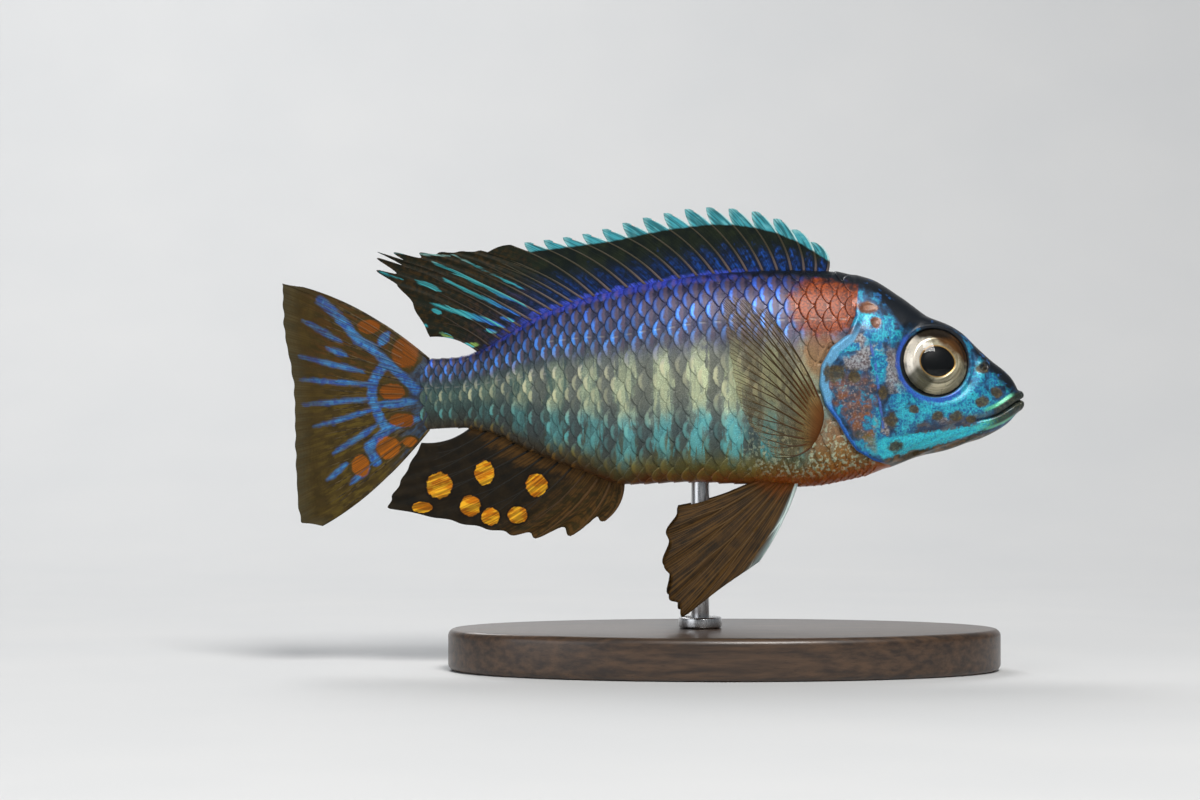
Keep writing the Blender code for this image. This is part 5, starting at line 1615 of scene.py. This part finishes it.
# %% Colours of the spines and rays
def dorsal_rod_paint(n, _, v):
    """Brown below the lappets and pale above, with the streaks of the web."""
    streak, _, above = n.attribute("marks")
    station, _, _ = n.attribute("lie")
    low = n.blend(v, 0.02, 0.4, (0.12, 0.09, 0.085), (0.044, 0.038, 0.022))
    low = n.blend(station, 84.0, 92.0, low, (0.022, 0.014, 0.006))
    colour = n.blend(above, -0.1, 0.3, low, (0.42, 0.64, 0.64))
    colour = n.mix(n.step(v, 0.92, 0.99) * n.step(above, 0.0, 0.5), colour, (0.72, 0.62, 0.6))
    return n.blend(streak, 0.2, 0.0, colour, (0.06, 0.36, 0.38))


def anal_rod_paint(n, u, _):
    """Brown spines in front, and yellow inside the egg spots."""
    _, spot, _ = n.attribute("marks")
    low = n.blend(u, 4.5, 1.5, (0.014, 0.012, 0.009), (0.085, 0.042, 0.012))
    return n.blend(spot, 0.05, -0.08, low, (0.56, 0.21, 0.008))


def caudal_rod_paint(n, *_):
    """Brown in patches, with the lines and spots of the web."""
    streak, spot, _ = n.attribute("marks")
    patchy = n.step(n.noise(n.position(), 0.8, 2.0), 0.4, 0.6)
    colour = n.mix(patchy, (0.028, 0.019, 0.008), (0.085, 0.056, 0.018))
    colour = n.mix(n.step(streak, 0.35, 0.0) * 0.7, colour, (0.04, 0.15, 0.33))
    return n.mix(n.step(spot, 0.1, -0.1) * 0.8, colour, (0.16, 0.055, 0.008))


def pectoral_rod_paint(n, _, v):
    """Orange at the root, then brown."""
    return n.blend(v, 0.1, 0.45, (0.08, 0.028, 0.008), (0.046, 0.028, 0.012))


def pelvic_rod_paint(n, u, v):
    """Orange at the root, then brown, with a pale first ray."""
    colour = n.blend(v, 0.02, 0.2, (0.16, 0.045, 0.006), (0.075, 0.038, 0.008))
    return n.blend(u, 0.2, 0.06, colour, (0.48, 0.58, 0.56))


rods = {name: rod_finish(name + "_rays", paint) for name, paint in (
    ("dorsal", dorsal_rod_paint), ("anal", anal_rod_paint), ("caudal", caudal_rod_paint),
    ("pectoral", pectoral_rod_paint), ("pelvic", pelvic_rod_paint))}
print("finishes of rays", list(rods))


# %% Make the fins
def fin_piece(name, parts, finish_used, slot, replaced):
    """One piece from all the sheets or all the rods of a fin."""
    points, faces, marks = joined(parts)
    return piece(name, points, faces, finish_used, slot, replaced, marks)


for name, sheets, fan_rods, slot in (
        ("dorsal", dorsal, dorsal_rods, "fin_dark"), ("anal", anal, anal_rods, "fin_dark"),
        ("caudal", caudal, caudal_rods, "fin_brown")):
    fin_piece(name + "_web", sheets, webs[name], slot, [name + "_fin"])
    fin_piece(name + "_rods", fan_rods, rods[name], slot, [])

PAIRED_FINS = (
    ("pectoral", pectoral_surface, PECTORAL_RAYS, 97, pectoral_half, 0.2, "fin_clear"),
    ("pelvic", pelvic_surface, PELVIC_RAYS, 81, even_half(0.13, 0.05), 0.34, "fin_brown"))
for side_name, side_sign in SIDES.items():
    for name, surface_of, rays, columns, half, thick, slot in PAIRED_FINS:
        surface = surface_of(side_sign)
        sheet = web(surface, np.linspace(0, rays - 1, columns), np.linspace(0, 1, 50), half, plain_notes)
        fin_piece(f"{name}_web_{side_name}", [sheet], webs[name], slot, [f"{name}_fin_{side_name}"])
        fan_rods = soft_rays(surface, np.arange(rays, dtype=float), thick, plain_notes)
        fin_piece(f"{name}_rods_{side_name}", fan_rods, rods[name], slot, [])

# %% [markdown]
# ## The eyes
# A fish's eye has a round lens that bulges through the pupil, a metallic iris, and a
# clear dome over both. The iris and pupil are one turned shape whose points are
# worked out from radius and angle, because the pupil is drawn to a point at its front.
# The clear dome is a thin film that only reflects, so the iris keeps its light.

# %% Eye shapes
IRIS_RADIUS, PUPIL_RADIUS, DOME_HEIGHT = 5.42, 2.72, 1.9
EYE_STEPS = 96
ring_share = np.linspace(0, 1, 26)[:, None]
lens_share = np.linspace(1, 0.03, 14)[:, None]
dome_share = np.linspace(1.0, 0.02, 24)[:, None]


def eye_place(side_sign, forward_by, up_by, out_by):
    """Points given in the eye's own directions, in metres."""
    outward, forward, upward = eye_axes(side_sign)
    centre = np.array((-EYE_STATION, side_sign * EYE_OUT, EYE_LEVEL))
    local = centre + forward_by[..., None] * forward + up_by[..., None] * upward + out_by[..., None] * outward
    return place(-local[..., 0], local[..., 1], local[..., 2])


def eye_grid(side_sign, radius, height):
    """A turned shape round the eye's axis from a radius and a height at each point."""
    angle = np.linspace(0, 2 * math.pi, EYE_STEPS, endpoint=False)[None]
    r, h = radius(angle), height(angle)
    points = eye_place(side_sign, r * np.cos(angle), r * np.sin(angle), h)
    notes = np.stack([r * np.cos(angle), r * np.sin(angle), r / pupil_edge(angle) + h * 0], -1)
    return points.reshape(-1, 3), tube_faces(len(points), EYE_STEPS), {"eye": notes.reshape(-1, 3)}


def pupil_edge(angle):
    """The pupil's radius round the eye, with its point to the front."""
    oval = PUPIL_RADIUS / np.sqrt((np.cos(angle) / 1.03) ** 2 + (np.sin(angle) / 0.93) ** 2)
    return oval * (1 + 0.09 * np.maximum(np.cos(angle + 0.15), 0) ** 10)


def iris_radius(angle):
    """The iris from its rim in to the pupil, and the lens from there to its middle."""
    edge = pupil_edge(angle)
    return np.concatenate([IRIS_RADIUS + (edge - IRIS_RADIUS) * ring_share, edge * lens_share])


def iris_height(angle):
    """A dished iris with a bulging lens."""
    rise = -0.25 + 1.05 * ease(ring_share, 0.0, 0.6) - 0.1 * ease(ring_share, 0.85, 1.0)
    lens = 0.62 + 0.85 * np.sqrt(1 - (lens_share * 0.98) ** 2)
    return np.concatenate([rise, lens]) * np.ones_like(angle)


def dome_radius(angle):
    """The clear dome, a little wider than the iris."""
    return (IRIS_RADIUS + 0.06) * dome_share * np.ones_like(angle)


def dome_height(angle):
    """The rise of the clear dome over the iris."""
    return DOME_HEIGHT * (1 - dome_share**2) ** 0.92 * np.ones_like(angle) - 0.05


print("pupil %.1f mm wide" % (2 * PUPIL_RADIUS))

# %% [markdown]
# ### The look of the eye
# The iris is silver with fine fibres that run out from the pupil, a thin gold ring
# round the pupil, dusky parts above and in front, and a painted highlight, near white, on
# its rear part. Its mesh keeps each point's place in the eye, so radius and angle can be
# worked out in the material. The dome reflects by the Fresnel effect alone, as a wet
# surface would.

# %% Eye finishes
eye_finish, n, shader = finish("fish_iris", Roughness=0.3, Specular_IOR_Level=0.12)
x, y, share = n.attribute("eye")
radius = n.math("SQRT", n.math("POWER", x, 2.0) + n.math("POWER", y, 2.0))
where = n.position()
rough = n.noise(where, 0.9, 3.0) - 0.5
fibre = n.noise(n.add("CombineXYZ", n.math("ARCTAN2", y, x) * 7.0, radius, 0.0), 2.0, 3.0)
rings = n.noise(n.add("CombineXYZ", radius * 3.0, n.math("ARCTAN2", y, x), 0.0), 1.0, 2.0)
colour = n.blend(rings, 0.35, 0.65, (0.42, 0.37, 0.23), (0.76, 0.7, 0.5))
# a painted highlight: near white on the rear part of the iris
behind = y * 0.35 + x * -1.0
colour = n.blend(rough * 1.2 + behind, 1.6, 3.0, colour, (0.95, 0.88, 0.76))
sector = y * -0.72 + x * -0.7
side_of = abs(y * -0.7 + x * 0.72)
olive = n.step(rough + sector, 2.4, 3.2) * n.step(side_of, 2.3, 1.4)
colour = n.mix(olive * 0.85, colour, (0.06, 0.062, 0.03))
front = y * 0.8 + x * 0.6
colour = n.blend(rough * 1.6 + front, 2.2, 3.6, colour, (0.17, 0.075, 0.022))
colour = n.blend(rough * 1.4 + y, 3.2, 4.4, colour, (0.035, 0.024, 0.014))
colour = n.mix(n.step(fibre, 0.55, 0.75) * 0.5, colour, (0.13, 0.09, 0.045))
colour = n.blend(rough * 0.25 + radius, 4.92, 5.12, colour, (0.014, 0.014, 0.012))
colour = n.blend(share, 1.1, 1.04, colour, (0.56, 0.33, 0.09))
pupil = n.step(share, 1.02, 0.99)
colour = n.mix(pupil, colour, (0.002, 0.003, 0.004))
n.fill(shader.inputs["Base Color"], colour)
n.fill(shader.inputs["Metallic"], (1.0 - pupil) * 0.55)
n.fill(shader.inputs["Roughness"], pupil * 0.15 + 0.3)
bump(n, shader, (fibre + rings) * (1.0 - pupil), 0.05, 0.5)

film_finish, n, shader = finish("clear_dome", Roughness=0.02, Metallic=1.0, Base_Color=(1.0, 1.0, 1.0, 1.0))
n.fill(shader.inputs["Alpha"], n.add("Fresnel", 1.3))
print("eye finishes", eye_finish.name, film_finish.name)

# %% Make the eyes
for side_name, side_sign in SIDES.items():
    points, faces, marks = eye_grid(side_sign, iris_radius, iris_height)
    piece("iris_" + side_name, points, faces, eye_finish, "eye_silver", ["eye_" + side_name], marks)
    points, faces, marks = eye_grid(side_sign, dome_radius, dome_height)
    piece("clear_dome_" + side_name, points, faces, film_finish, "eye_silver", [], marks)

# %% [markdown]
# ## The stand
# The stand is plain: an oval wooden base with softened edges, a steel rod that rises
# between the pelvic fins to the belly, and a small collar round its foot. Each is
# a turned profile, which is simpler than a block with bevelled edges. The grain of the
# wood is noise, stretched along the base.

# %% Turned shapes
BASE_LENGTH, BASE_WIDTH, BASE_THICKNESS, BASE_EDGE = 92.0, 50.0, 7.0, 1.2
ROD_STATION, ROD_RADIUS = 54.0, 1.5
ROD_REACH = 0.7
COLLAR_RADIUS, COLLAR_HEIGHT, COLLAR_SINK = 3.6, 1.6, 0.25
ROD_SIDE = SWEEP_RATE * (ROD_STATION - SWEEP_START) ** 2


def turned(profile, centre, stretch, steps):
    """A profile of (radius, height) turned round an upright axis, in metres."""
    angle = np.linspace(0, 2 * math.pi, steps, endpoint=False)
    profile = np.array(profile, float)
    inset = profile[:, 0][:, None]
    x = centre[0] + (stretch[0] + inset) * np.cos(angle)
    y = centre[1] + (stretch[1] + inset) * np.sin(angle)
    z = profile[:, 1][:, None] + 0 * angle
    return np.stack([x, y, z], -1).reshape(-1, 3) * MM, tube_faces(len(profile), steps)


def rounded(low, high, edge, steps=8):
    """An edge profile: how far in from the side, and the height, from the foot up."""
    turn = np.linspace(0, math.pi / 2, steps)
    foot = [(-edge + edge * math.sin(t), low + edge - edge * math.cos(t)) for t in turn]
    head = [(-edge + edge * math.cos(t), high - edge + edge * math.sin(t)) for t in turn]
    return foot + head


print("base", BASE_LENGTH, "x", BASE_WIDTH, "x", BASE_THICKNESS, "mm")

# %% Wood and steel
wood_finish, n, shader = finish("stand_wood", Roughness=0.42, Coat_Weight=0.35, Coat_Roughness=0.18)
stretched = n.add("VectorMath", n.position(), (0.06, 0.9, 0.9), operation="MULTIPLY")
grain = n.noise(stretched, 1.1, 6.0, 0.62)
pores = n.noise(stretched, 6.0, 2.0)
colour = n.blend(grain, 0.3, 0.72, (0.022, 0.012, 0.007), (0.085, 0.045, 0.022))
n.fill(shader.inputs["Base Color"], n.mix(n.step(pores, 0.62, 0.75) * 0.6, colour, (0.01, 0.006, 0.004)))
bump(n, shader, grain * 0.4 + pores, 0.08, 0.35)

steel_finish, n, shader = finish("stand_steel", Roughness=0.26, Metallic=1.0)
brushed = n.noise(n.add("VectorMath", n.position(), (6.0, 6.0, 0.25), operation="MULTIPLY"), 1.5, 3.0)
n.fill(shader.inputs["Base Color"], n.mix(brushed, (0.48, 0.48, 0.49), (0.68, 0.68, 0.69)))
n.fill(shader.inputs["Roughness"], brushed * 0.22 + 0.16)
bump(n, shader, brushed, 0.02, 0.3)
print("stand finishes", wood_finish.name, steel_finish.name)

# %% Make the stand
solid_box = {name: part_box(name) for name in ("stand_base", "stand_rod", "stand_collar")}
print("tops of the stand's solids", [round(float(b[1][2]) / MM, 1) for b in solid_box.values()], "mm")
base_points, base_faces = turned(
    rounded(0.0, BASE_THICKNESS, BASE_EDGE), (0, 0), (BASE_LENGTH / 2, BASE_WIDTH / 2), 240)
piece("display_base", base_points, base_faces, wood_finish, "stand_wood", ["stand_base"])
rod_foot, rod_top = BASE_THICKNESS - 1.0, solid_box["stand_rod"][1][2] / MM + ROD_REACH
rod_at = (SNOUT_X - ROD_STATION, ROD_SIDE)
rod_points, rod_faces = turned(rounded(rod_foot, rod_top, 0.25, 4), rod_at, (ROD_RADIUS, ROD_RADIUS), 48)
piece("display_rod", rod_points, rod_faces, steel_finish, "stand_steel", ["stand_rod"])
collar_low = solid_box["stand_collar"][0][2] / MM - COLLAR_SINK
collar = rounded(collar_low, collar_low + COLLAR_HEIGHT + COLLAR_SINK, 0.4, 6)
collar_points, collar_faces = turned(collar, rod_at, (COLLAR_RADIUS, COLLAR_RADIUS), 64)
piece("display_collar", collar_points, collar_faces, steel_finish, "stand_steel", ["stand_collar"])

# %% [markdown]
# ## Light, floor and camera
# The fish is shown on a pale floor that curves up behind it, in soft light from above
# and in front. The camera looks straight at its right side from about half a metre,
# where one millimetre on the fish is six pixels of a 1200 pixel wide picture. Large
# area lights are used, because small ones would put hard spots on every scale.

# %% Floor that sweeps up behind
floor_finish, n, shader = finish("pale_floor", Roughness=0.75)
cloudy = n.noise(n.position(), 0.02, 2.0)
n.fill(shader.inputs["Base Color"], n.mix(cloudy, (0.6, 0.61, 0.62), (0.66, 0.66, 0.66)))
FLOOR_FRONT, BEND_START, BEND_RADIUS, WALL_HEIGHT, HALF_FLOOR = -1.4, 0.25, 0.45, 1.8, 1.8
sweep = [(FLOOR_FRONT, 0.0), (BEND_START, 0.0)]
sweep += [(BEND_START + BEND_RADIUS * math.sin(a), BEND_RADIUS - BEND_RADIUS * math.cos(a))
          for a in np.linspace(0.1, math.pi / 2, 16)]
sweep += [(BEND_START + BEND_RADIUS, WALL_HEIGHT)]
mesh = bpy.data.meshes.new("floor")
floor_points = [(x, y, z) for y, z in sweep for x in (-HALF_FLOOR, HALF_FLOOR)]
mesh.from_pydata(floor_points, [], grid_faces(len(sweep), 2))
mesh.materials.append(floor_finish)
mesh.shade_smooth()
floor = bpy.data.objects.new("floor", mesh)
bpy.context.scene.collection.objects.link(floor)
print("floor", len(mesh.polygons), "faces")


# %% Soft lights
def soft_light(name, place_at, size, power, colour=(1.0, 1.0, 1.0)):
    """A square area light that faces the fish."""
    data = bpy.data.lights.new(name, "AREA")
    data.size = size
    data.energy = power
    data.color = colour
    made = bpy.data.objects.new(name, data)
    made.location = place_at
    towards = Vector((0, 0, AXIS_HEIGHT * MM)) - made.location
    made.rotation_euler = towards.to_track_quat("-Z", "Y").to_euler()
    bpy.context.scene.collection.objects.link(made)


soft_light("key", (0.16, -0.62, 0.74), 0.34, 8.0, (1.0, 0.98, 0.95))
soft_light("fill", (-0.7, -0.55, 0.3), 0.6, 1.8, (0.93, 0.96, 1.0))
soft_light("back", (-0.25, 0.55, 0.65), 0.4, 3.0)
world = bpy.data.worlds.new("soft_room")
bpy.context.scene.world = world
world.use_nodes = True
room_light = world.node_tree.nodes["Background"]
room_light.inputs["Color"].default_value = (0.8, 0.85, 0.9, 1.0)
room_light.inputs["Strength"].default_value = 0.22
bpy.context.scene.view_settings.view_transform = "Standard"
print("lights", len(bpy.data.lights))

# %% Camera
PIXELS_PER_MM, IMAGE_WIDTH, PICTURE_MIDDLE_X = 6.0, 1200, -20.7
lens, sensor = 100.0, 36.0
distance = IMAGE_WIDTH / PIXELS_PER_MM * lens / sensor
data = bpy.data.cameras.new("camera")
data.lens = lens
data.sensor_width = sensor
camera = bpy.data.objects.new("camera", data)
camera.location = (PICTURE_MIDDLE_X * MM, -distance * MM, AXIS_HEIGHT * MM)
camera.rotation_euler = (math.pi / 2, 0.0, 0.0)
bpy.context.scene.collection.objects.link(camera)
bpy.context.scene.camera = camera
print("camera %.0f mm away" % distance)
